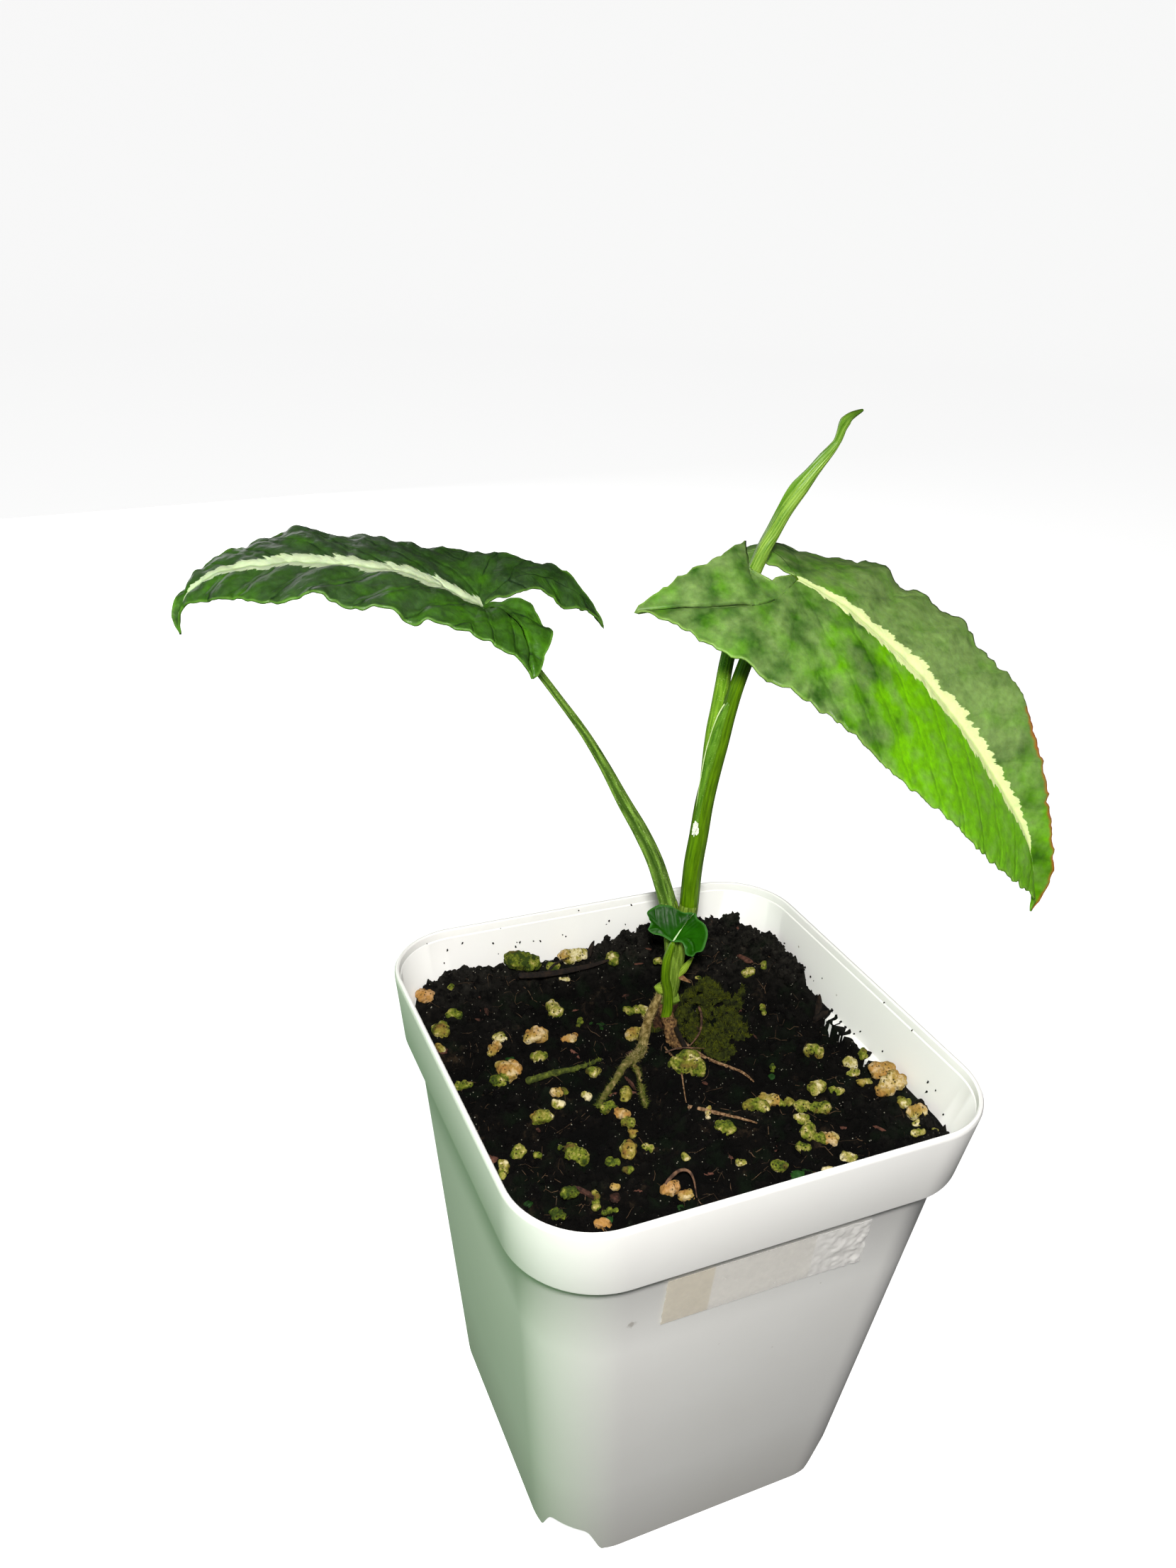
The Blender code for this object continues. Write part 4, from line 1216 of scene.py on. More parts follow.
@dataclass
class PottingMix:
    """Peat and bark mix that fills the pot, with its crumbs, shreds and perlite.

    Rows of back_wall and right_wall give the height of the mix along those walls, and widths the
    flat part of the pot's inside by its half width. Rows of grains are the place, length, width,
    turn in degrees, and stains of algae and rust in ninths.
    """

    pot: NurseryPot
    level: float = 91.4
    ledge: float = 93.95
    ledge_half: float = 44.4
    body_half: float = 44.3
    bare_half: float = 44.35
    wall_half: float = 47
    clear_of_walls: float = 26
    ledge_wide: float = 2.65
    collar_from: float = 93.4
    collar_half: float = 47.4
    collar_flare: float = 0.113
    flare_from: float = 94
    speck_flare: float = 0.0024
    bare_stretch: tuple[float, float] = (-13.0, 8.5)
    skirt: Line = (
        (44.35, 46.6, 90.2, 93.55), (44.3, 44.35, 90, 93.3), (43.2, 43.2, 80, 80),
        (35.6, 35.6, 9.5, 9.5),
    )
    clod_count: int = 270
    crumb_count: int = 1300
    chip_count: int = 30
    fibre_count: int = 330
    fibre_half: float = 43.5
    perlite_voxel: float = 0.24
    hollow: Point = (6, 12)
    hollow_radius: float = 13
    swells: Line = (
        (37, 40, 6.5, 12), (20, 43, 4, 6), (-33, 43, 3.5, 11),
        (43, -31, 2.8, 7), (22, 22, 1.8, 6), (9, 17, -3.2, 6.5),
    )
    ripples: Line = ((4.6, 3.9, 0.55), (2.9, 3.3, 0.35), (9.5, 8.1, 0.7))
    back_wall: Line = (
        (-40.6, 97.9), (-33.8, 98.9), (-23.3, 97), (-12.5, 95), (-4.3, 96.3), (5.9, 97.8),
        (13.4, 99.4), (19.2, 100.2), (25, 98.4), (30, 98.6), (36, 98.8), (40, 99.2), (44, 98.2),
    )
    right_wall: Line = (
        (-37, 94.2), (-28, 94), (-20, 94), (-12, 92.3), (-8, 91.2), (-2, 91.6), (5, 91),
        (9, 93.2), (12.7, 93.1), (17.5, 92.4), (19, 94.8), (21.6, 97), (24, 98), (28, 98.4),
        (33, 98.4), (42, 98.4),
    )
    widths: Line = ((35.6, 13.35), (43.2, 14.45), (44.4, 14.4), (47.0, 16.6))
    cells: int = 260
    mound: Line = (
        (18.5, 42.5, 101, 5), (14, 42.5, 99.8, 4.5), (22.5, 41.5, 99.5, 5),
        (28, 42, 99.5, 4.6), (33, 41.5, 100.2, 4.2), (38.5, 41, 101.2, 3.6),
        (36.4, 41, 99.6, 4.4), (43, 33, 99.4, 3.6), (43.6, 28, 99.4, 3.4),
        (44.3, 23.6, 97.8, 2.8), (-33, 43, 98.2, 3.4), (-29, 43, 97.6, 3), (-38, 42, 97.2, 3.2),
        (43.4, -28.6, 94.4, 3.2), (42.8, -32.8, 94.6, 3.4), (6, 43, 98, 4),
    )
    back_specks: Line = (
        (-16.5, 101.9), (-4.1, 101), (-4.9, 101.6), (-12.3, 101.4), (-10.6, 101), (-15.7, 101.8),
        (-33.5, 103.4), (-34.9, 100.4), (-21.2, 99.8), (-20.2, 106.3), (6.5, 102.2), (7.2, 103),
        (13, 106.2), (-0.7, 107.3), (-39.8, 107.1), (-16.8, 100.8), (-29.6, 104.3), (-22.3, 102.8),
        (11.6, 101.2),
    )
    right_specks: Line = (
        (26.4, 97.9), (20.5, 97.9), (22.6, 94.3), (17.8, 97), (16.4, 96.8), (18.1, 93.8),
        (13.6, 99.2), (23.5, 96), (20.9, 93.7), (7.9, 93.6), (3.7, 93.7), (5.6, 93.8), (1.7, 93.7),
        (-1.6, 94.1), (7.6, 94.3), (8.9, 93.7), (-7.7, 106.6), (-17.6, 106.3), (-11.5, 96.4),
        (-26.8, 97.1), (-28.8, 99), (-26.2, 99.2), (-33.2, 96.1), (30.2, 98.8), (20.4, 93.7),
        (16.5, 93.6), (13.8, 94.1), (-3.3, 95.9), (-0.1, 93.7), (19.4, 95.2),
    )
    bark: Line = (
        (35.4, 29, 5.2, 1.5, 100), (-29, 34.6, 4.6, 0.8, 80), (-29, -23.5, 4.5, 1, -50),
        (5.6, 32.8, 3.2, 1.2, 30), (-42.4, -8, 3, 2, 0), (-24.1, -26.8, 2.5, 2, 40),
        (-42.4, 25.4, 2.4, 2, 0), (-8.2, 1, 3.8, 0.5, -25), (-7, 3, 4.2, 0.5, -80),
        (12.4, 21.8, 2.6, 1.4, 20),
    )
    twigs: tuple[tuple[Line, float], ...] = (
        (((-19, 39, 98.6), (-13, 38.6, 97.9), (-6, 38.8, 97.5), (0.3, 39, 97.6), (5, 39.2, 98.2)),
         0.62),
        (((-12.5, 38.6, 98), (-10.5, 39.4, 99.6), (-6.5, 40, 100.4)), 0.24),
        (((-0.4, 42, 98.4), (0.2, 42.2, 100.4), (0.9, 42.3, 102)), 0.5),
        (((44.4, 9, 92), (44.6, 9.6, 95), (44.2, 9.4, 98.2)), 0.75),
        (((43, 8, 92.6), (44.2, 7, 94.4), (44.8, 6.2, 95.6)), 0.6),
        (((9.7, 14.6, 93.4), (8.9, 8.6, 93), (8.6, 3.7, 92.8), (8.1, -0.7, 92.3)), 0.55),
        (((27.8, 41.6, 100), (26.8, 41.8, 101.6), (25.9, 42, 102.6)), 0.4),
        (((32, 41, 101), (32.6, 41.4, 102.8), (32.2, 41.6, 103.6)), 0.35),
    )
    curls: tuple[tuple[Line, float], ...] = (
        (((-14.3, -28.2, 92.4), (-12.6, -27.3, 93.2), (-10.4, -26.6, 93.7), (-8.8, -27.2, 93.6),
         (-8.5, -29, 93), (-9.6, -32.6, 92)), 0.3),
        (((17.2, 18, 95.4), (16, 14.4, 95.6), (13.7, 10.6, 94.6), (11, 8.7, 93.6), (9, 7.9, 92.8)),
         0.24),
        (((4.2, 8.6, 92.6), (7.4, 7.8, 93.6), (12.9, 6.4, 93)), 0.16),
    )
    sprouts: Line = (
        (-4.9, 23, 2.9), (-6.2, 25.7, 1.4), (-28.8, 18.9, 2), (-40.4, -22.9, 2),
        (-27.4, -31.5, 1.8), (11.7, -35.1, 3.2), (14.2, -34, 2.4), (23.4, -5.3, 1.6),
        (17.8, 4.7, 1.3), (-13, -33, 1.5),
    )
    grains: Line = (
        (-41.6, 40.4, 97.3, 3.2, 2.8, -23, 1, 8), (-36.5, 35, 94.6, 3.6, 2.4, -23, 6, 1),
        (-40.7, 31, 94.5, 3.6, 3.5, -23, 6, 2), (-42.6, 25.7, 93.4, 2, 1.9, -23, 3, 5),
        (-29.2, 24.7, 93.6, 2.7, 2.5, -23, 1, 2), (-31.1, 22.1, 92.8, 3.7, 2.5, 66, 2, 5),
        (-21, 23.3, 93.2, 4.6, 4, -23, 1, 6), (-13.4, 32, 92.3, 3.7, 3.4, -63, 4, 2),
        (-22.6, 16.9, 92.2, 2.8, 2.6, -23, 4, 0), (-13.7, 21.4, 92.1, 4.1, 2.2, 2, 2, 6),
        (-9.3, 25.8, 92.1, 2.9, 1.5, 66, 7, 1), (-31, 13.7, 92.7, 4.2, 3.9, -23, 3, 6),
        (-33.7, 12.1, 92.4, 3, 2.6, -23, 7, 1), (-40.8, 14, 91.7, 3.4, 1.9, -23, 8, 1),
        (-23.9, 3.5, 92.8, 2.7, 2.8, -23, 1, 5), (-24.7, 0.6, 92.5, 2.3, 2.5, -23, 0, 1),
        (-28.7, -1.4, 92.2, 3.8, 3.2, -23, 6, 1), (-22.3, 3.8, 92.6, 1.6, 1.6, -23, 6, 1),
        (-13.6, 7.8, 92.9, 2.9, 2.5, -23, 7, 1), (-18, 1.4, 92.3, 2.2, 1.6, -53, 0, 0),
        (-9.7, -0.3, 91.8, 3.1, 2.4, 66, 6, 1), (-14.9, -3.7, 92.5, 3.1, 2.5, -23, 7, 0),
        (-13.4, -6.5, 92.5, 3.3, 2.6, -43, 3, 6), (-13.4, -9.4, 92.3, 2.5, 2.2, -23, 6, 1),
        (-13.3, -11.8, 92.1, 1.7, 1.7, -23, 4, 3), (-17.4, -17.8, 93.4, 3.6, 3.4, 66, 6, 3),
        (-21.2, -19.2, 93.1, 2.5, 1.9, -23, 5, 0), (-19.4, -22.2, 93.1, 2.1, 1.5, -23, 8, 0),
        (-12.5, -17.4, 92.2, 2.2, 2, -23, 4, 1), (-26.8, -14.1, 92.3, 4.3, 3.2, -33, 6, 0),
        (-28.3, -11.4, 91.8, 1.8, 1.5, -23, 8, 0), (-37, -9.3, 91.6, 2.6, 2.5, -23, 4, 2),
        (-33.6, -10.7, 91.3, 1.4, 1.4, -23, 8, 0), (-42, -13.9, 92.8, 4.2, 2.2, 66, 6, 2),
        (-32.1, -23.2, 92.1, 2.5, 2.3, -23, 9, 0), (-27.9, -26.3, 91.7, 4.5, 1.6, 66, 4, 1),
        (-35.7, -26.7, 91.2, 2.8, 2.2, -53, 8, 0), (-29.1, -32.4, 91.7, 2.7, 2.2, -23, 1, 8),
        (-26.5, -29.7, 91.5, 3, 1.5, -23, 9, 0), (-13.4, -28.6, 91.7, 2.8, 2.8, -23, 1, 8),
        (-10.9, -30.8, 91.7, 2.4, 2.3, -23, 2, 7), (-6.9, -22.4, 92.3, 1.4, 1.7, -23, 2, 1),
        (3.2, -27.2, 92, 1.8, 1.7, -23, 4, 1), (9.2, -31.9, 92.8, 3.1, 2.5, -23, 7, 1),
        (4.6, -17.9, 92.5, 3.7, 3, -38, 7, 0), (3.4, -12.9, 92.9, 3.1, 1.3, 66, 1, 2),
        (13.7, -14.3, 93.2, 4.9, 3.5, -18, 5, 4), (18.5, -13, 92.2, 4.5, 2.7, -28, 3, 7),
        (21.5, -15, 92.3, 2.5, 1.9, -23, 6, 2), (23.5, -16.9, 92.5, 2.7, 2.4, -23, 4, 1),
        (26.5, -19.1, 92.4, 4.4, 2.7, -23, 6, 1), (20.9, -20.8, 92.6, 2.9, 2.6, -23, 4, 0),
        (20.6, -23.9, 92, 3.1, 3, 66, 4, 0), (17.1, -27.8, 91.9, 2.8, 2.7, -23, 5, 0),
        (24.4, -26.3, 91.4, 3.4, 2.9, -53, 1, 6), (22.3, -25.8, 91.3, 1.9, 1.7, -23, 8, 0),
        (24.6, -33.2, 91.8, 3.2, 2.5, -3, 1, 1), (17.9, -35.2, 92.4, 2.1, 1.5, -23, 1, 4),
        (29.8, -13.3, 92.2, 3.5, 3, 7, 5, 1), (33, -15.8, 92.7, 2.3, 2, -68, 5, 0),
        (36.5, -1.3, 92.4, 3.8, 2.9, -23, 4, 4), (41.5, -8.4, 92.3, 2.6, 2.5, -23, 0, 2),
        (39.7, -12, 93, 2.6, 2, -23, 2, 0), (45.1, -8.2, 93.8, 2.5, 1.7, 66, 4, 1),
        (43.2, -16.9, 96, 4.6, 4.1, -23, 1, 7), (44, -20.5, 96, 4.2, 3.9, -23, 1, 5),
        (41.4, -21.5, 94.8, 3.3, 2.7, -23, 2, 6), (39.4, -16.3, 93.8, 3.2, 1.7, -3, 5, 3),
        (42.1, -26.9, 95.5, 2.4, 2.4, -23, 4, 3), (42.9, -29.9, 95.5, 3.1, 3.1, -23, 1, 6),
        (41.5, -32.5, 94.8, 2.2, 1.6, -23, 0, 0), (40, -34.6, 94.7, 2.6, 1.6, -23, 4, 0),
        (43.5, -35.7, 94.8, 1.3, 1, -23, 5, 0), (24.8, -3.2, 91.7, 2.8, 1.1, 66, 9, 0),
        (6.9, 2.5, 93.6, 6.4, 4.7, -33, 5, 2), (32.7, 14.5, 93.4, 3, 1.5, 66, 3, 1),
        (3.4, 26.9, 91.7, 2.3, 2.3, -23, 6, 0), (6.4, 26.3, 91.5, 3.8, 2.6, -23, 3, 2),
        (1.4, 19, 90.7, 3.2, 2.9, -23, 2, 2), (4.8, 40.1, 97.5, 3.4, 2.9, 66, 5, 1),
        (-16.2, 44.1, 98.5, 7.1, 4.9, -23, 9, 1), (-9.7, 41.9, 97.5, 2.9, 2.4, -23, 6, 0),
        (-5.2, 44, 98, 3.9, 3.1, -23, 1, 3), (-2.4, 43, 98.5, 3.4, 2.9, -23, 0, 2),
        (14.9, 35.4, 98, 1.7, 1.7, -23, 5, 0), (39.9, 25.9, 97, 2.5, 2.2, 66, 5, 1),
        (35, 26, 96, 2.4, 2.1, 66, 5, 1), (22.9, 29, 95.2, 1.4, 0.9, -23, 5, 0),
        (17.4, 45.9, 99.5, 2.3, 2.1, -23, 1, 8), (-35.7, 40.4, 98.3, 1.3, 1.2, -23, 7, 0),
        (-7.8, 39.6, 94.7, 2.4, 1.2, -23, 1, 1), (-23.5, -25.5, 92.6, 1.5, 1.4, -23, 1, 5),
    )

    def smooth_height(self, x: float, y: float) -> float:
        """Give the height of the mix at a place, without its crumbs.

        Args:
            x: Place to the right of the middle.
            y: Place behind the middle.

        Returns:
            The height above the foot.
        """
        height = self.level
        for cx, cy, rise, wide in self.swells:
            height += rise * math.exp(-((x - cx) ** 2 + (y - cy) ** 2) / (2 * wide**2))
        for wave_x, wave_y, rise in self.ripples:
            height += rise * math.sin(x / wave_x + y / 7.0) * math.cos(y / wave_y - x / 9.0)
        for near, along, table in ((y, x, self.back_wall), (x, y, self.right_wall)):
            share = clamp((near - 35) / 8)
            if share:
                height += (look_up(table, along) - height) * share * share * (3 - 2 * share)
        return height

    def rough_height(self, x: float, y: float) -> float:
        """Give the height of the mix at a place, with its clods and crumbs.

        Args:
            x: Place to the right of the middle.
            y: Place behind the middle.

        Returns:
            The height above the foot.
        """
        spot = Vector((x, y, 0))
        domes = noise.voronoi(spot / 3.0 + Vector((0, 0, noise.noise(spot / 5))))[0][0]
        height = self.smooth_height(x, y) + 2.4 * (0.5 - domes)
        height += 1.2 * noise.noise(spot / 2.3 + Vector((7, 1, 3)))
        return height + 0.75 * noise.noise(spot / 1.05) + 0.45 * noise.noise(spot / 0.55)

    def reach(self, dx: float, dy: float, half: float) -> float:
        """Find where a direction from the middle meets the inside of the pot.

        Args:
            dx: Direction to the right.
            dy: Direction to the back.
            half: Half width of the pot's inside at the height in question.

        Returns:
            How many times the direction's own length the pot's wall is away.
        """
        straight = half - look_up(self.widths, half)
        far = half / max(abs(dx), abs(dy))
        if min(abs(dx), abs(dy)) * far > straight:
            along = straight * (abs(dx) + abs(dy))
            size = dx * dx + dy * dy
            root = math.sqrt(along * along - size * (2 * straight**2 - (half - straight) ** 2))
            far = (along + root) / size
        return far

    def edge(self, dx: float, dy: float) -> tuple[float, float]:
        """Find where the mix ends in a direction from the middle.

        Args:
            dx: Direction to the right.
            dy: Direction to the back.

        Returns:
            How many times the direction's own length, and the share of the pot's ledge covered.
        """
        y = self.wall_half * dy / max(abs(dx), abs(dy), 1e-6)
        low, high = self.bare_stretch
        patchy = clamp(0.6 + 1.8 * noise.noise(Vector((y / 2.4, 1, 2))))
        bare = (dx > abs(dy)) * clamp((y - low) / 2) * clamp((high - y) / 2) * patchy
        return self.reach(dx, dy, self.bare_half + self.ledge_wide * (1 - bare)), 1 - bare

    def inside(self, dx: float, dy: float, fraction: float) -> tuple[float, float]:
        """Return the place at a fraction of the way from the middle to the edge of the mix."""
        far = self.edge(dx, dy)[0] * fraction if fraction else 0.0
        return dx * far, dy * far

    def random_spot(self, draw: random.Random, edge: float = 0.0) -> tuple[float, float]:
        """Draw a place inside the pot.

        Args:
            draw: Source of the random values.
            edge: How much closer to the wall the places crowd, from 0 to 1.

        Returns:
            The place, to the right of the middle and behind it.
        """
        dx, dy = draw.uniform(-1, 1), draw.uniform(-1, 1)
        fraction = max(abs(dx), abs(dy)) or 0.5
        return self.inside(dx, dy, (fraction + (1 - fraction) * edge) * 0.97)

    def keep_inside(self, piece: bpy.types.Object) -> bpy.types.Object:
        """Press a piece in where it would stick out through the pot's wall.

        Args:
            piece: Loose bits that lie on the mix.

        Returns:
            The same piece.
        """
        for vert in piece.data.vertices:
            x, y, z = (vert.co - FOOT) / MM
            if max(abs(x), abs(y)) > self.clear_of_walls:
                half = self.body_half
                if z >= self.collar_from:
                    half = self.collar_half + max(0.0, z - self.flare_from) * self.collar_flare
                far = self.reach(x, y, half)
                if far < 1:
                    vert.co = place((x * far, y * far, z))
        return piece

    def build_bed(self) -> None:
        """Model the body of the mix, from its rough top over the ledge down to the pot's floor."""
        bed = add_grid("potting_mix_bed", self.cells, self.cells)
        for vert in bed.data.vertices:
            dx, dy = vert.co.x, vert.co.y
            fraction = max(abs(dx), abs(dy))
            x, y = self.inside(dx, dy, fraction)
            height = self.rough_height(x, y)
            if fraction > 0.9:
                over = fraction * self.edge(dx, dy)[0] > self.reach(dx, dy, self.ledge_half)
                height = max(height, self.ledge) if over else height
            vert.co = place((x, y, height))
        select_border()
        for bare, covered, low, high in self.skirt:
            bpy.ops.mesh.extrude_edges_move()
            build = bmesh.from_edit_mesh(bed.data)
            for vert in [v for v in build.verts if v.select]:
                spot = (vert.co - FOOT) / MM
                ledge = self.edge(spot.x, spot.y)[1]
                far = self.reach(spot.x, spot.y, bare + (covered - bare) * ledge)
                vert.co = place((spot.x * far, spot.y * far, low + (high - low) * ledge))
            bmesh.update_edit_mesh(bed.data)
        bpy.ops.mesh.edge_face_add()
        settle_faces()
        peat = Peat("peat_and_bark", 0.85, 1.4)
        finish_piece(bed, "peat_and_bark", [peat], "potting_mix", angle=math.pi)

    def finish_bits(
        self,
        name: str,
        shapes: Sequence[bpy.types.Object],
        spots: Sequence[tuple[Point, Euler, Point]],
        finish: Finish,
    ) -> None:
        """Scatter bits over the mix, keep them within the pot, and dress them.

        Args:
            name: Name of the piece.
            shapes: Shapes to copy.
            spots: Place, turn and size of each copy.
            finish: Finish of all of them.
        """
        finish_piece(self.keep_inside(scatter(name, shapes, spots)), "peat_and_bark", [finish])

    def build_clods(self) -> None:
        """Model the clods and crumbs on the mix, and the specks that cling to the inner walls."""
        draw = random.Random(21)

        def any_turn() -> Euler:
            """Return a random turn."""
            return Euler([draw.uniform(0, ABOUT_A_TURN) for _ in range(3)])

        clods, crumbs = [], []
        for x, y, z, size in self.mound:
            clods.append(((x, y, z), any_turn(), (size, size * 0.85, size * 0.9)))
        for n in range(90):
            along = draw.uniform(2, 42) if n % 2 else draw.uniform(20, 42)
            table = self.back_wall if n % 2 else self.right_wall
            toward = (along, self.wall_half) if n % 2 else (self.wall_half, along)
            x, y = self.inside(*toward, draw.uniform(0.86, 0.99))
            size = draw.uniform(1.0, 3.0)
            height = look_up(table, along) + draw.uniform(-0.6, 2.1) - 0.25 * size
            clods.append(((x, y, height), any_turn(), (size, size * 0.8, size * 0.85)))
        while len(clods) < self.clod_count:
            x, y = self.random_spot(draw, 0.3 if len(clods) % 3 else 0.0)
            size = draw.uniform(1.4, 3.6)
            if math.dist((x, y), self.hollow) > self.hollow_radius:
                height = self.rough_height(x, y) - size * 0.12
                clods.append(((x, y, height), any_turn(), (size, size * 0.8, size * 0.75)))
        for n in range(self.crumb_count):
            x, y = self.random_spot(draw, 0.55 if n % 4 == 0 else 0.0)
            size = draw.triangular(0.4, 2.2, 0.7)
            shape = (size * draw.uniform(0.8, 1.7), size, size * draw.uniform(0.5, 0.9))
            crumbs.append(((x, y, self.rough_height(x, y) + size * 0.12), any_turn(), shape))
        for n, (along, height) in enumerate([*self.back_specks, *self.right_specks]):
            wall = self.wall_half
            dx, dy = (along, wall) if n < len(self.back_specks) else (wall, along)
            rise = max(0.0, height - self.flare_from)
            far = self.reach(dx, dy, wall) * (1 + rise * self.speck_flare)
            size = draw.uniform(0.3, 0.75) if height > 96 else draw.uniform(0.5, 1.5)
            shape = (size, size * 0.6, size * 0.7)
            crumbs.append(((dx * far, dy * far, height), any_turn(), shape))
        finish = Peat("peat_crumb", 0.88, 1.4, black="#050404")
        shapes = [lumpy_ball(f"clod_{n}", 3, 0.8, n + 30, 2.2) for n in range(5)]
        self.finish_bits("peat_clods", shapes, clods, finish)
        shapes = [lumpy_ball(f"crumb_{n}", 2, 0.75, n + 3) for n in range(6)]
        self.finish_bits("peat_crumbs", shapes, crumbs, finish)

    def build_perlite(self) -> None:
        """Model the perlite grains, each a few smooth lumps run together and dimpled."""
        draw = random.Random(5)
        lobes = []
        for x, y, z, long, wide, turn, _, _ in self.grains:
            count = 3 if long < 3.2 else 4 if long < 5.5 else 6
            ahead = Vector((math.cos(math.radians(turn)), math.sin(math.radians(turn)), 0))
            for k in range(count):
                off = ahead * ((k / (count - 1) - 0.5) * (long - 0.6 * wide))
                off += ahead.orthogonal().normalized() * draw.uniform(-0.16, 0.16) * wide
                off += Vector((-ahead.y, ahead.x, 0)) * draw.uniform(-0.16, 0.16) * wide
                size = wide * draw.uniform(0.62, 0.95)
                lobe_turn = spin(draw)
                shape = (size * draw.uniform(0.9, 1.2), size, size * draw.uniform(0.85, 1.05))
                lobes.append((Vector((x, y, z)) + off, lobe_turn, shape))
        perlite = scatter("perlite_grains", [lumpy_ball("lobe", 3, 0.3, 40, 1.2)], lobes)
        apply_modifier(perlite, "REMESH", mode="VOXEL", voxel_size=self.perlite_voxel * MM)
        middles = np.array([place(row[:3]) for row in self.grains])
        stains = np.array([row[6:] for row in self.grains]) / 9
        near = []
        normals = [vert.normal.copy() for vert in perlite.data.vertices]
        for vert, normal in zip(perlite.data.vertices, normals):
            near.append(int(np.argmin(((middles - np.array(vert.co)) ** 2).sum(1))))
            spot = vert.co / MM
            pit = math.exp(-((noise.voronoi(spot / 1.1)[0][0] / 0.24) ** 2))
            push = 0.34 * noise.noise(spot / 0.9) - 0.34 * pit
            vert.co += normal * (push + 0.12) * MM
        for name, values in zip(("algae", "rust"), stains[near].T):
            set_attribute(perlite.data, name, values)
        finish = ExpandedGlass("perlite", 0.9, 1.4)
        finish_piece(self.keep_inside(perlite), "peat_and_bark", [finish], angle=math.pi)

    def build_chips(self, draw: random.Random) -> None:
        """Model the bark bits and green sprouts.

        Args:
            draw: Source of the random values.
        """
        chips = []
        for x, y, long, wide, turn in self.bark:
            tilt = Euler((0, 0.15, math.radians(turn)))
            chips.append(((x, y, self.rough_height(x, y) + 0.4), tilt, (long, wide, 1.1)))
        for _ in range(self.chip_count):
            x, y = self.random_spot(draw)
            tilt = [draw.uniform(-0.4, 0.4) for _ in range(2)]
            turn = Euler((*tilt, draw.uniform(0, ABOUT_A_TURN)))
            shape = (draw.uniform(1.2, 3), draw.uniform(0.4, 1), 0.4)
            chips.append(((x, y, self.rough_height(x, y) + 0.15), turn, shape))
        finish = Fibrous("composted_bark", 0.85, 1.45, dark="#150C08", light="#5E3C30")
        shapes = [lumpy_ball(f"chip_{n}", 3, 0.55, n + 9) for n in range(4)]
        self.finish_bits("bark_chips", shapes, chips, finish)
        leaves = []
        for x, y, size in self.sprouts:
            shape = (size, size * 0.8, size * 0.35)
            leaves.append(((x, y, self.rough_height(x, y) + 0.35), Euler((0.3, 0.2, x)), shape))
        finish = Fibrous("green_sprout_skin", 0.5, 1.4, dark="#0A1C05", light="#1F4416")
        self.finish_bits("green_sprouts", [lumpy_ball("sprout", 3, 0.5, 2)], leaves, finish)

    def build_twigs(self) -> None:
        """Model the dark twigs and the dry curls."""
        for name, rows, dark, light in (
            ("dark_twigs", self.twigs, "#0D0907", "#2E2116"),
            ("dry_curls", self.curls, "#30211A", "#86644A"),
        ):
            flattened = ribbed((0.2, 2, 0, 0))
            tubes = []
            for line, radius in rows:
                radii = (radius, radius, radius * 0.8, radius * 0.25)
                tubes.append(tube("twig", line, radii, 9, 4, flattened))
            finish = Fibrous(name + "_bark", 0.8, 1.45, dark=dark, light=light)
            finish_piece(self.keep_inside(join_all(name, tubes)), "peat_and_bark", [finish])

    def build_fibres(self, draw: random.Random) -> None:
        """Model the fine fibres that lie on the mix or stand up from it.

        Args:
            draw: Source of the random values.
        """
        fibres = []
        for n in range(self.fibre_count):
            x, y = self.random_spot(draw, 0.5 if n % 3 == 0 else 0)
            heading, long = draw.uniform(0, ABOUT_A_TURN), draw.uniform(1.2, 5.0)
            bend = draw.uniform(-0.9, 0.9)
            lift = draw.uniform(0, 0.5) if n % 4 else draw.uniform(0.6, 1.6)
            line = []
            for k in range(4):
                turned = heading + bend * k / 3
                px = x + long * k / 3 * math.cos(turned)
                py = y + long * k / 3 * math.sin(turned)
                line.append((px, py, self.rough_height(px, py) + 0.1 + lift * k / 3))
            if max(abs(p) for spot in line for p in spot[:2]) < self.fibre_half:
                radius = draw.uniform(0.03, 0.1)
                radii = (radius, radius, radius * 0.5)
                fibres.append(tube("fibre", line, radii, 3, 1, rounded=False))
        fibre = join_all("peat_fibres", fibres)
        tones = [random.Random(i // 12).random() for i in range(len(fibre.data.vertices))]
        set_attribute(fibre.data, "tone", tones)
        finish = Fibrous("sphagnum_fibre", 0.8, 1.45, dark="#0E0A07", light="#5E4A36")
        finish_piece(fibre, "peat_and_bark", [finish])

    def build(self) -> None:
        """Model and dress the mix with all that lies in it."""
        self.build_bed()
        self.build_clods()
        self.build_perlite()
        draw = random.Random(12)
        self.build_chips(draw)
        self.build_twigs()
        self.build_fibres(draw)


# Stalks, stem and roots

# Angle round the left stalk at which its channel runs.
CHANNEL_ANGLE = 2.6


def channelled(fraction: float, angle: float) -> float:
    """Shape the left stalk: two ridges with a channel between them, where its sheath grew.

    Args:
        fraction: Fraction of the way up the stalk.
        angle: Angle round it.

    Returns:
        Factor on the radius.
    """
    depth = spread((0.2, 0.22, 0.18, 0.12, 0.08), fraction)
    turn = angle - CHANNEL_ANGLE
    ridges = math.exp(-(((turn - 0.6) / 0.3) ** 2)) + math.exp(-(((turn + 0.6) / 0.3) ** 2))
    channel = 0.12 * math.exp(-((turn / 0.3) ** 2))
    return 0.94 + depth * ridges - channel + 0.008 * math.cos(9 * angle)


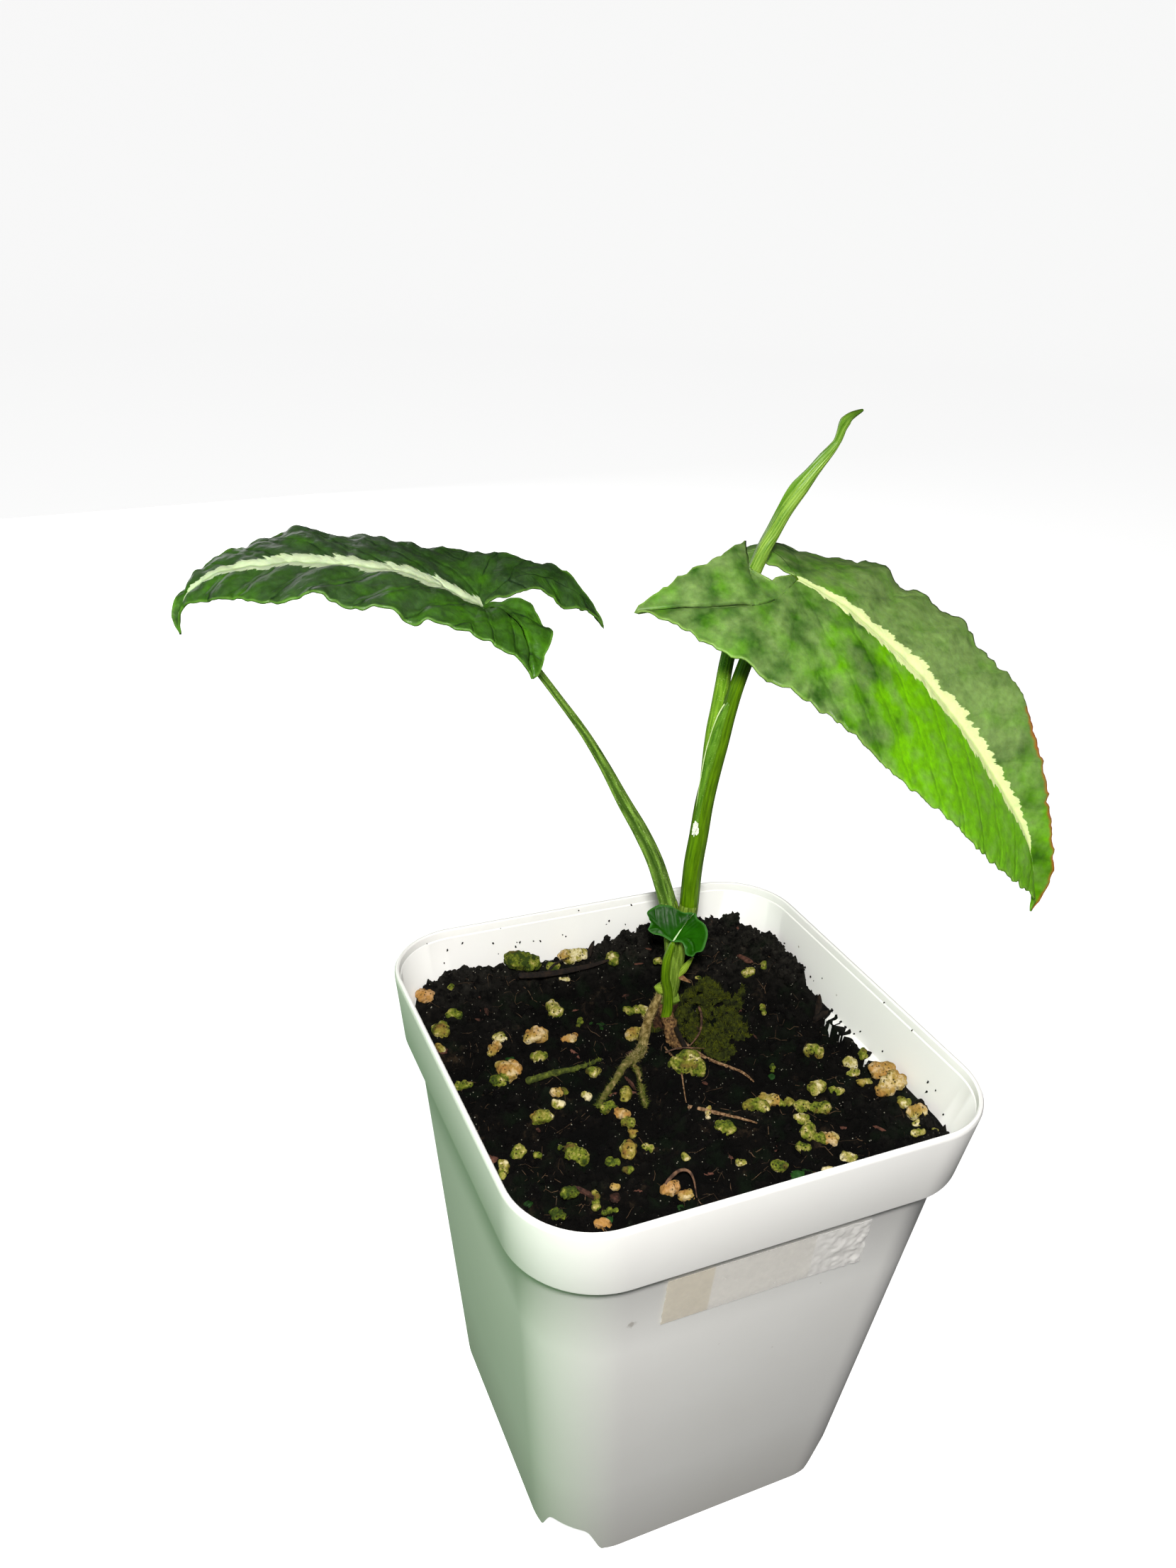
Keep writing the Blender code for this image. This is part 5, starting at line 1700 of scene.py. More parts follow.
@dataclass
class Shoot:
    """Living stem of the vine: its node, buds, four stalks, sheath and the young rolled leaf."""

    left_stalk: Line = (
        (9.4, 23.2, 122.4), (6.2, 24.1, 132), (2.6, 25, 139.8), (-1.7, 26.2, 147.5),
        (-6.2, 27.4, 156), (-10.6, 28.5, 163.4), (-15.7, 29.9, 170.7), (-23, 31.9, 180.6),
        (-30.75, 33.6, 189.75),
    )
    left_radii: tuple[float, ...] = (2.1, 1.95, 1.8, 1.55, 1.2, 1.0, 0.85, 0.8, 0.75)
    right_stalk: Line = (
        (14, 21.4, 122), (14.1, 21.4, 131.4), (14.6, 21.1, 139.2), (15.1, 20.9, 147),
        (15.9, 20.5, 154), (17, 19.9, 161.6), (17.9, 19.4, 168.3), (19.2, 18.7, 175.7),
        (21.4, 17.6, 184), (26.4, 14.6, 196.9),
    )
    right_radii: tuple[float, ...] = (2.1, 2.1, 2.05, 2.0, 1.9, 1.75, 1.6, 1.5, 1.45, 1.3)
    new_stalk: Line = (
        (16.9, 24.2, 150), (17.3, 24.2, 158), (17.4, 23.8, 163), (17.5, 23.1, 168),
        (17.5, 22.4, 173), (17.5, 21.5, 179), (18.2, 20.3, 188), (19.6, 19, 197.2),
    )
    new_radii: tuple[float, ...] = (1.3, 1.6, 1.65, 1.6, 1.55, 1.5, 1.5, 1.5)
    small_stalk: Line = (
        (9.4, 19.3, 93.6), (9.6, 19.1, 96.2), (9.2, 18.6, 99.4), (8.5, 18.1, 102.6),
        (7.5, 17.6, 105.9), (7.1, 17, 110.4), (7.3, 16.8, 112.5), (7.95, 16.6, 115.2),
    )
    small_radii: tuple[float, ...] = (1.15, 1.2, 1.15, 1.05, 1.0, 0.95, 0.9, 0.65)
    stem: Line = (
        (10.4, 22.6, 86), (10.7, 22.5, 92), (11.6, 22.5, 99.5), (12, 22.4, 106),
        (12, 22.4, 114),
    )
    stem_radii: tuple[float, ...] = (1.7, 1.9, 2.2, 2.3, 2.5)
    left_fork: Line = ((11.6, 22.4, 109.0), (11.0, 22.7, 116.0), (9.6, 23.15, 121.8))
    right_fork: Line = ((12.4, 22.3, 109.0), (13.6, 21.7, 116.0), (14.0, 21.4, 121.6))
    node_ring: Line = ((11.3, 22.5, 95.4), (11.4, 22.5, 96.6), (11.5, 22.5, 97.8))
    crown: Line = ((10.5, 22.4, 89), (10.7, 22.4, 92.6), (11.3, 22.4, 95.2))
    round_bud: Line = ((10.2, 22.0, 99.4), (8.6, 21.6, 100.2), (7.2, 21.3, 101.0))
    pointed_bud: Line = ((11.8, 21.6, 102.2), (13.6, 20.5, 105.0), (15.5, 19.9, 108.2))
    dry_scale: Line = ((12.0, 21.4, 103.6), (13.6, 20.4, 102.6), (15.4, 19.9, 101.3))
    roll: Line = (
        (19.6, 19, 196.8), (21.4, 18.4, 202.4), (22.9, 18, 205.8), (24.8, 17.2, 210.5),
        (27.8, 16.2, 215.9), (30.2, 15.6, 219.6), (32.8, 15, 223.3), (33.5, 14.5, 226.4),
        (34.5, 14.3, 228.1), (37.2, 14.2, 229.4),
    )
    roll_radii: tuple[float, ...] = (
        1.6, 1.6, 1.55, 1.5, 1.5, 1.55, 1.3, 1.15, 0.8, 0.9, 1.1, 0.75, 0.25,
    )
    roll_turn: float = 150.0
    roll_start: float = 60.0
    roll_lap: float = 0.24
    roll_flares: Line = ((0.34, 0.4, 0.06), (0.3, 0.8, 0.04))
    meal_spot: Point = (13.15, 20.0, 141.6)
    meal_size: Point = (1.35, 1.1, 3.1)
    free_edge: Line = (
        (13, 20.6, 143.3), (13.2, 20.6, 147.5), (13.5, 20.6, 152.5), (14, 20.6, 158.3),
        (14.6, 20.4, 162.2), (15.4, 20, 166.2), (16.4, 19.6, 169.2), (17.2, 19, 170.9),
    )

    def build_stalks(self) -> None:
        """Model the left, right, new and small leaves' stalks."""
        # The left stalk's dark line down its channel is painted shade.
        left = StalkSkin(
            "left_stalk_skin", 0.42, 1.42, deep="#2E4A12", light="#769A3A", spot="#B8D086",
            spots=0.5, groove_shade_at=CHANNEL_ANGLE,
        )
        right = StalkSkin(
            "right_stalk_skin", 0.36, 1.42, deep="#3A5A02", light="#567C05", spot="#8AA838",
            spots=0.08,
        )
        new = StalkSkin(
            "new_stalk_skin", 0.4, 1.42, deep="#4C7A12", light="#7CA42C", spot="#BCD284", spots=0.4
        )
        small = StalkSkin(
            "small_stalk_skin", 0.3, 1.42, deep="#3E5E0A", light="#64880E", spot="#A4BE54",
            spots=0.12,
        )
        fine_ribs = ribbed((0.018, 11, 2, math.pi / 2))
        soft_ribs = ribbed((0.02, 8, 0, math.pi / 2))
        for name, line, radii, skin, sides, steps, shape in (
            ("left", self.left_stalk, self.left_radii, left, 40, 7, channelled),
            ("right", self.right_stalk, self.right_radii, right, 40, 7, fine_ribs),
            ("new", self.new_stalk, self.new_radii, new, 32, 6, soft_ribs),
            ("small", self.small_stalk, self.small_radii, small, 28, 6, None),
        ):
            stalk = tube(f"{name}_stalk", line, radii, sides, steps, shape)
            finish_piece(stalk, f"{name}_stalk_green", [skin], f"petiole_{name}")

    def build_stem(self) -> None:
        """Model the stem with its forks, node ring, corky crown, buds and dry scale."""
        wavy = ribbed((0.03, 3, 9, 0))
        knobbly = ribbed((0.06, 7, 0, 0), (0.04, 13, 0, 1))
        parts = [
            tube("stem", self.stem, self.stem_radii, 32, 7, wavy),
            tube("left_fork", self.left_fork, (1.9, 2.25, 2.1), 32, 7),
            tube("right_fork", self.right_fork, (1.9, 2.2, 2.12), 32, 7),
            tube("node_ring", self.node_ring, (2.1, 2.75, 2.1), 36, 5, knobbly),
        ]
        buds = [
            tube("round_bud", self.round_bud, (1.2, 1.4, 0.35), 24, 6),
            tube("pointed_bud", self.pointed_bud, (0.75, 0.95, 0.15), 24, 6),
        ]
        stem = join_all("main_stem_and_buds", parts)
        skin = StalkSkin(
            "stem_skin", 0.42, 1.42, deep="#3A540C", light="#7E9A36", spot="#C0D088", spots=0.2
        )
        finish_piece(stem, "stem_green", [skin], "main_stem")
        crown = tube("stem_crown", self.crown, (2.2, 2.5, 2.35), 24, 5, ribbed((0.12, 5, 6, 0)))
        cork = Fibrous("corky_crown", 0.85, 1.45, dark="#22140C", light="#6E4C30")
        finish_piece(crown, "stem_green", [cork])
        skin = StalkSkin(
            "bud_skin", 0.38, 1.42, deep="#587414", light="#94AC3A", spot="#C8D888", spots=0.15
        )
        finish_piece(join_all("stem_buds", buds), "stem_green", [skin])
        scale = tube("dry_scale", self.dry_scale, (0.8, 0.6, 0.12), 16, 5)
        husk = Fibrous("dry_scale_husk", 0.75, 1.45, dark="#6A4A2C", light="#B8946A")
        finish_piece(scale, "stem_green", [husk])

    def build_wing(self) -> bpy.types.Object:
        """Model the sheath's thin wing, from the right stalk to its free edge.

        Returns:
            The wing, not dressed yet.
        """
        edge = smooth_line(self.free_edge, 6)
        stalk = smooth_line(self.right_stalk, 12)
        across = 7
        points, faces, looks = [], [], []
        for n, free in enumerate(edge):
            rises = [abs(point.z - free.z) for point in stalk]
            root = stalk[rises.index(min(rises))] + Vector((-1.2, -1.2, 0))
            for k in range(across + 1):
                t = k / across
                bulge = Vector((-0.25, -0.45, 0)) * math.sin(math.pi * t)
                points.append(place(root.lerp(free, t) + bulge))
                looks.append((n * 0.8, t, 0))
            if n:
                low, high = (n - 1) * (across + 1), n * (across + 1)
                faces += [(low + k, low + k + 1, high + k + 1, high + k) for k in range(across)]
        mesh = bpy.data.meshes.new("sheath_wing")
        mesh.from_pydata(points, [], faces)
        set_attribute(mesh, "stalk_mm", looks)
        wing = add_object("sheath_wing", mesh)
        apply_modifier(wing, "SOLIDIFY", thickness=0.3 * MM, offset=0)
        return wing

    def build_sheath(self) -> None:
        """Model the sheath with its pale hem, and the mealy wax spot below it."""
        slot = "right_stalk_green"
        wing = self.build_wing()
        hem = tube("sheath_hem", self.free_edge, (0.1, 0.2, 0.22, 0.2, 0.26, 0.3), 10, 6)
        skin = StalkSkin(
            "sheath_edge_skin", 0.5, 1.42, deep="#9DBB5C", light="#DCE8B4", spot="#F0F4D8"
        )
        finish_piece(hem, slot, [skin])
        meal = lumpy_ball("mealy_spot", 4, 0.7, 4, 2.6)
        for vert in meal.data.vertices:
            sized = Vector([part * size for part, size in zip(vert.co, self.meal_size)])
            vert.co = place(Vector(self.meal_spot) + sized)
        wax = Fibrous("mealy_wax", 0.95, 1.4, dark="#D6DCC8", light="#FBFBF6", grain=0.333)
        finish_piece(meal, slot, [wax])
        skin = StalkSkin(
            "sheath_skin", 0.4, 1.42, deep="#3A640C", light="#648E26", spot="#B4CC7C", spots=0.2
        )
        finish_piece(wing, slot, [skin])

    def build_roll(self) -> None:
        """Model the young leaf, rolled in a spear whose outer edge laps over and winds up it."""
        sides, step = 44, 5
        rings = []
        line = smooth_line(self.roll, 8)
        for fraction, centre, _, side, other in frames(line, Vector((0, 1, 0))):
            radius = spread(self.roll_radii, fraction)
            lap = self.roll_lap
            lap += sum(
                rise * math.exp(-(((fraction - middle) / wide) ** 2))
                for rise, middle, wide in self.roll_flares
            )
            start = math.radians(self.roll_turn * fraction + self.roll_start)
            ring = []
            for k in range(sides):
                angle = start + FULL_TURN * k / sides
                rise = k / (sides - step)
                if k >= sides - step:
                    rise = 1 - (k - sides + step + 1) / (step + 1)
                reach = radius * (1 - self.roll_lap / 2 + lap * max(rise, 0) ** 3)
                ring.append(centre + (side * math.cos(angle) + other * math.sin(angle)) * reach)
            rings.append(ring)
        # The young leaf's dark line where its edge laps over is painted shade.
        skin = StalkSkin(
            "young_leaf_skin", 0.38, 1.42, deep="#4A7416", light="#86A642", spot="#BCD088",
            spots=0.15, stains=((34.5, 36.5, "#3E5A14"),), groove_shade_at=math.radians(319),
        )
        finish_piece(sweep("rolled_leaf", rings), "young_leaf_green", [skin], "leaf_new")

    def build(self) -> None:
        """Model and dress every part of the shoot."""
        self.build_stem()
        self.build_stalks()
        self.build_sheath()
        self.build_roll()


# Leaves


@dataclass
class HalfOutline:
    """Edges of half a blade, each point along, across and up from the junction."""

    inner: Line
    vein: Line
    outer: Line


@dataclass
class LeafBlade:
    """One lobed blade, from its outline and midrib to its veined and waved sheet.

    Its ribs are the numbers along a lobe, along the blade and across a half. The stripe gives half
    widths by the fraction of the midrib; the two tables of shares give the bright green, partly
    painted glow of light through the blade, and the dull green, evenly spaced from the junction to
    the tip.
    """

    name: str
    node: str
    slot: str
    junction: Point
    heading: float
    midrib: Line
    halves: dict[Side, HalfOutline]
    top: LeafSkin
    under: LeafSkin
    pitch: float = 0.0
    arch: float = 0.04
    slant: float = 0.28
    thick: float = 0.42
    ribs: tuple[int, int, int] = (44, 150, 28)
    stripe: Line = ((0, 2.4), (0.3, 2.5), (0.6, 2.1), (0.85, 1.2), (0.97, 0.1), (1, 0.01))
    # Shares of bright green, partly painted glow of light through the blade.
    lush_and_glow: dict[Side, tuple[float, ...]] = field(default_factory=dict)
    veil: dict[Side, tuple[float, ...]] = field(default_factory=dict)
    rusty_from: float = 2.0
    scallop: float = 0.5
    vein_gap: float = 9.0
    vein_lean: float = 0.8
    pillow: float = 0.45
    ruffle: float = 0.7
    crinkle: float = 0.15

    def strips(self, half: HalfOutline) -> Iterator[list[tuple[Vector, Vector, float, bool]]]:
        """Yield the two strips of ribs of half a blade.

        Args:
            half: Outline of the half.

        Yields:
            Ribs as foot, edge, distance along the leaf, and whether the rib starts on the midrib.
        """
        inner, vein, outer = (smooth_line(line, 14) for line in (half.inner, half.vein, half.outer))
        spine = smooth_line(self.midrib, 14)
        shoulder = max(i for i, p in enumerate(outer) if p.x <= self.slant * abs(p.y))
        lobe, rest = outer[: shoulder + 1], outer[shoulder:]
        vein_mm, spine_mm = line_length(vein), line_length(spine)
        lobe_ribs, blade_ribs, _ = self.ribs
        steps = [k / lobe_ribs for k in range(lobe_ribs + 1)]
        outside = []
        for t in steps:
            foot, edge = along_line(vein, 1 - t), along_line(lobe, t)
            outside.append((foot, edge, -vein_mm * (1 - t), t == 1))
        for k in range(1, blade_ribs + 1):
            t = k / blade_ribs
            outside.append((along_line(spine, t), along_line(rest, t), spine_mm * t, True))
        yield outside
        yield [(along_line(vein, t), along_line(inner, t), -vein_mm * t, False) for t in steps]

    def scalloped(self, foot: Vector, edge: Vector, edge_mm: float) -> Vector:
        """Move the end of a rib in or out, as the margin waves.

        Args:
            foot: Start of the rib.
            edge: End of the rib on the outline.
            edge_mm: Distance along the outline.

        Returns:
            The new end.
        """
        wide = (edge - foot).length
        if wide <= 1:
            return edge
        out = noise.noise(Vector((edge_mm / 2.2, 0, 0)))
        out += 0.4 * noise.noise(Vector((edge_mm / 1.1, 5, 0)))
        return edge + (edge - foot) * (self.scallop * out * min(1, wide / 6) / wide)

    def look_at(
        self, side: Side, station: float, along: float, out: float, on_spine: bool
    ) -> tuple[Point, Point]:
        """Give what the finish reads at a point of the sheet.

        Args:
            side: Half of the leaf.
            station: Fraction of the way along the midrib.
            along: Distance along the leaf.
            out: Distance from the rib's foot.
            on_spine: Whether the rib starts on the midrib.

        Returns:
            Ratio to the stripe's half width, phase between veins and wear, and then the shares of
            bright green, partly painted glow, and of dull green.
        """
        ratio = min(9.0, out / look_up(self.stripe, station)) if on_spine else 9.0
        phase = (abs(along) - self.vein_lean * out) / self.vein_gap
        worn = side is Side.LEFT and station > self.rusty_from
        from_junction = station if along > 0 else 0
        tones = [spread(tone.get(side, (0,)), from_junction) for tone in (self.lush_and_glow, self.veil)]
        return (ratio, phase, float(worn)), (*tones, 0)

    def sheet(self) -> tuple[list[Vector], list[tuple[int, ...]], dict[str, list[Point]]]:
        """Build the flat-veined sheet, point by point along its ribs.

        Returns:
            Points, faces, and what the finish reads at each point.
        """
        points: list[Vector] = []
        index: dict[tuple[float, ...], int] = {}
        faces, places, looks, tones = [], [], [], []
        across = self.ribs[2]
        spine_mm = line_length(smooth_line(self.midrib, 14))
        for side, half in self.halves.items():
            for outer_strip, strip in enumerate(self.strips(half)):
                rows = []
                before, edge_mm = strip[0][1], 40.0 * side.value
                for foot, edge, along, on_spine in strip:
                    wide = (edge - foot).length
                    edge_mm += (edge - before).length
                    before = edge
                    edge = self.scalloped(foot, edge, edge_mm)
                    station = max(0.0, along / spine_mm)
                    row = []
                    for j in range(across + 1):
                        t = j / across
                        bulge = Vector((0, 0, 4 * self.arch * wide * t * (1 - t)))
                        spot = foot.lerp(edge, t) + bulge
                        key = tuple(round(c, 3) for c in spot)
                        if key not in index:
                            index[key] = len(points)
                            points.append(spot)
                            signed = side.value * wide * t * (-1 if outer_strip else 1)
                            places.append((along, signed, wide * (1 - t)))
                            look, tone = self.look_at(side, station, along, wide * t, on_spine)
                            looks.append(look)
                            tones.append(tone)
                        row.append(index[key])
                    rows.append(row)
                flip = (side is Side.RIGHT) != bool(outer_strip)
                for low, high in zip(rows, rows[1:]):
                    for j in range(across):
                        corners = (low[j], high[j], high[j + 1], low[j + 1])
                        face = list(dict.fromkeys(corners))
                        if len(face) > 2:
                            faces.append(tuple(face[::-1] if flip else face))
        return points, faces, {"leaf_mm": places, "leaf_look": looks, "leaf_tone": tones}

    def lift(self, spot: Vector, where: Point, look: Point) -> float:
        """Give how far the blade's surface rises or sinks at a point.

        Args:
            spot: Point of the flat-veined sheet.
            where: Its distances along the leaf, from the midrib and from the margin.
            look: Its ratio to the stripe, phase between veins and wear.

        Returns:
            The rise in millimetres.
        """
        _, across, margin = where
        _, phase, _ = look
        between = 2 * abs(phase - round(phase))
        puff = self.pillow * (between**0.7 - 0.5) * min(1, abs(across) / 3) * min(1, margin / 2.5)
        groove = -0.3 * math.exp(-((across / 0.7) ** 2))
        wave = noise.noise(Vector((spot.x / 3.1, spot.y / 3.1, 7.0)))
        wave += 0.5 * noise.noise(Vector((spot.x, spot.y, 2)) / 1.4)
        wave *= self.ruffle * math.exp(-margin / 2.6)
        crease = noise.noise(spot / 1.7) + 1.6 * noise.noise(spot / 4.3)
        return puff + groove + wave + self.crinkle * crease

    def build(self) -> None:
        """Model the blade and dress it."""
        points, faces, looks = self.sheet()
        mesh = bpy.data.meshes.new(self.name)
        mesh.from_pydata(points, [], faces)
        mesh.update()
        normals = [vert.normal.copy() for vert in mesh.vertices]
        turn = Euler((0, math.radians(-self.pitch), math.radians(self.heading))).to_matrix()
        rows = zip(mesh.vertices, normals, looks["leaf_mm"], looks["leaf_look"])
        for vert, normal, where, look in rows:
            raised = vert.co + normal * self.lift(vert.co, where, look)
            vert.co = place(turn @ raised + Vector(self.junction))
        for key, values in looks.items():
            set_attribute(mesh, key, values)
        blade = add_object(self.name, mesh)
        # Solidify gives the underside the second material only if both places exist.
        mesh.materials.append(None)
        mesh.materials.append(None)
        sides = {"material_offset": 1, "material_offset_rim": 0}
        apply_modifier(blade, "SOLIDIFY", thickness=self.thick * MM, offset=0, **sides)
        finish_piece(blade, self.slot, [self.top, self.under], self.node, angle=math.pi)


def left_leaf() -> LeafBlade:
    """Describe the left leaf: dark, seen nearly edge on, with its tip curled under.

    Returns:
        The blade, not built yet.
    """
    halves = {
        Side.LEFT: HalfOutline(
            ((0, 0, 0), (-2.9, 1, 1.6), (-6, 2.2, 2.5), (-9.2, 3.4, 1.2), (-10.7, 5.5, -1.3),
             (-12.3, 7.5, -2.2), (-12.3, 10, -3.8), (-10.9, 12.5, -5.2), (-9.8, 15, -7.6),
             (-8.6, 16.3, -8.8)),
            ((0, 0, 0), (-3.5, 5, 1), (-7, 10, -1.8), (-8.6, 16.3, -8.8)),
            ((-8.6, 16.3, -8.8), (-6, 16.6, -5.4), (-1, 16.2, -2.2), (5, 16.3, 0.8),
             (11, 16.6, 2.7), (14, 16.5, 2.1), (19, 16.5, 5), (25, 15.8, 4.6), (31.3, 14.5, 7),
             (37.5, 12.8, 4.5), (45.2, 9.2, 4.2), (51.3, 5.5, 2.8), (54.8, 3, 1.2), (57.4, 1, -2.4),
             (57.3, 0, -5.6)),
        ),
        Side.RIGHT: HalfOutline(
            ((0, 0, 0), (-2.8, -1.2, 1.4), (-7.7, -3.6, 2), (-10.4, -5, 2.3), (-14, -6.6, 0.2),
             (-16.6, -8, -2.3), (-20.5, -10, -3.6), (-23, -11.6, -4), (-25.4, -13.2, -7.2),
             (-26.4, -14, -9)),
            ((0, 0, 0), (-6, -6, 4), (-14, -10.5, 2.6), (-21.5, -13, -2.6), (-26.4, -14, -9)),
            ((-26.4, -14, -9), (-25.2, -14.4, -6.3), (-22.5, -15, -2), (-18, -16, 2.5),
             (-10, -16.8, 4.9), (0, -16.6, 6.5), (10.5, -17, 7.5), (20, -17, 9.2), (29, -15.6, 10),
             (34.5, -14, 12.2), (38.7, -12.6, 10.9), (45, -9.5, 9.4), (50.5, -6.1, 7.5),
             (54.6, -3.3, 4.7), (57.8, -1, 0.3), (58.3, -0.5, -3), (57.3, 0, -5.6)),
        ),
    }
    top = LeafSkin(
        "dark_leaf_cuticle", 0.42, 1.42, deep="#1F3D0D", lush_and_glow="#3A6C06", veil="#33492A",
        stripe="#B8C8A0", rim="#6C9C38", vein="#0E240A", ragged=0.46, marbling=0.36, tooth_gap=1.2,
        rim_share=0.4, vein_share=0.85,
    )
    under = LeafSkin(
        "dark_leaf_underside", 0.55, 1.42, deep="#4A7030", lush_and_glow="#56803A", veil="#5E8650",
        stripe="#86A470", rim="#6C9C42", vein="#2C5230", marbling=0.2,
    )
    return LeafBlade(
        "left_leaf", "leaf_left", "leaf_dark_green", (-31.1, 33.5, 190.3), 165.0,
        ((0, 0, 0), (7, 0, 3.7), (14, 0, 6.4), (23, 0, 7.9), (33, 0, 8.6), (41, 0, 8.1),
         (49, 0, 6.5), (54, 0, 3.6), (57.3, 0, -1), (57.3, 0, -5.6)),
        halves, top, under,
        stripe=((0, 2.3), (0.2, 2.7), (0.45, 2.7), (0.6, 2.2), (0.75, 1.4), (0.86, 0.7),
                (0.9, 0.01), (1, 0.01)),
        lush_and_glow={Side.LEFT: (0.5, 0.1, 0.15, 0.3, 0.45, 0.5),
              Side.RIGHT: (0.15, 0.1, 0.1, 0.15, 0.3, 0.4)},
        veil={Side.LEFT: (0.1, 0.5, 0.5, 0.45, 0.35, 0.1),
              Side.RIGHT: (0.3, 0.5, 0.6, 0.55, 0.45, 0.2)},
        vein_gap=10.0, vein_lean=0.9, pillow=0.6, crinkle=0.24,
    )


def right_leaf() -> LeafBlade:
    """Describe the right leaf: bright, arched down to its tip, with a notch for the young leaf.

    Returns:
        The blade, not built yet.
    """
    halves = {
        Side.RIGHT: HalfOutline(
            ((0, 0, 0), (-1.6, -1.2, 0.7), (-3.3, -3, 1), (-5.3, -5, 0.5), (-7.6, -4.6, 1.6),
             (-10.2, -2.8, 2.8), (-11.9, 0.4, 4.2), (-10.2, 3.6, 5.7), (-12.6, 0, 5.5),
             (-16.2, -5, 4), (-21.5, -9, 2.2), (-27, -13, -1.4), (-30.8, -15.4, -4.2)),
            ((0, 0, 0), (-5, -8.5, -2.4), (-12, -12.5, -2.6), (-21, -14.5, -3),
             (-30.8, -15.4, -4.2)),
            ((-30.8, -15.4, -4.2), (-28.5, -17.3, -3.9), (-23, -19.4, -5), (-15, -21.2, -8.6),
             (-9, -21.8, -10.6), (-5.5, -22, -13.7), (-1, -21.6, -15.2), (5, -21.8, -18.8),
             (11.5, -22, -22.6), (17, -22, -27.4), (22.8, -21.6, -32.3), (32.7, -19.2, -40),
             (39.3, -16.6, -46.3), (44.4, -13.5, -51.7), (50.9, -8.8, -57.9), (56.5, -3.8, -63.4),
             (59, -1.2, -67), (59.6, 0, -70.4)),
        ),
        Side.LEFT: HalfOutline(
            ((0, 0, 0), (-1.8, 1.3, 0.8), (-4.2, 4, 1.5), (-6.6, 5.6, 1.4), (-10.5, 7.4, -0.6),
             (-16.6, 10.5, -4.6), (-21.6, 14.5, -7.6)),
            ((0, 0, 0), (-4, 8, 2.4), (-9, 12.5, 1.2), (-15, 14.5, -2.6), (-21.6, 14.5, -7.6)),
            ((-21.6, 14.5, -7.6), (-17, 18.4, -3.6), (-9.5, 21, -0.2), (-3, 21.8, 1.3),
             (3, 21, -0.2), (10.5, 21, -1), (18, 21, -1.3), (21.5, 20.8, -2.8), (24, 20.4, -6),
             (29, 19.4, -6.9), (32.5, 18.4, -9.6), (37.7, 16.5, -11.2), (41, 14.8, -15.8),
             (48.2, 10.5, -21.3), (51.5, 8, -26), (55.5, 4.6, -35.8), (58, 2.6, -43),
             (61, 1.2, -54), (62.3, 0.8, -60.5), (61.2, 0.5, -66), (59.6, 0, -70.4)),
        ),
    }
    top = LeafSkin(
        "bright_leaf_cuticle", 0.42, 1.42, deep="#284E10", lush_and_glow="#66AA00", veil="#74904F",
        stripe="#D8E6A0", rim="#8AAC50", vein="#2A5412", ragged=0.6, marbling=0.24, rim_share=0.4,
        vein_share=0.16, tooth_gap=1.5, relief=0.3, shine=0.25,
    )
    under = LeafSkin(
        "bright_leaf_underside", 0.55, 1.42, deep="#6A9446", lush_and_glow="#78A44C", veil="#7EA464",
        stripe="#A6C27E", rim="#90B45C", vein="#4A7436", marbling=0.2,
    )
    return LeafBlade(
        "right_leaf", "leaf_right", "leaf_bright_green", (26.8, 14.1, 197.6), -28.0,
        ((0, 0, 0), (8.8, 0, -4.2), (16.4, 0, -9.4), (27.2, 0, -18.3), (36.8, 0, -28.4),
         (44.6, 0, -37.8), (54, 0, -51), (58.1, 0, -61), (59.6, 0, -70.4)),
        halves, top, under,
        stripe=((0, 0.9), (0.05, 1.3), (0.12, 1.9), (0.3, 2.5), (0.55, 2.2), (0.72, 1.6),
                (0.82, 0.7), (0.85, 0.01), (1, 0.01)),
        lush_and_glow={Side.RIGHT: (0.05, 0.35, 0.95, 1.25, 1.2, 1.05, 0.8),
              Side.LEFT: (0.1, 0.15, 0.2, 0.2, 0.4, 0.7)},
        veil={Side.RIGHT: (0.4, 0.2, 0.0, 0.0, 0.05, 0.1, 0.0),
              Side.LEFT: (0.4, 0.75, 0.9, 0.6, 0.2, 0.0)},
        rusty_from=0.55, vein_gap=12.0, vein_lean=0.7, pillow=0.08, ruffle=0.42, scallop=1.1,
        crinkle=0.12,
    )


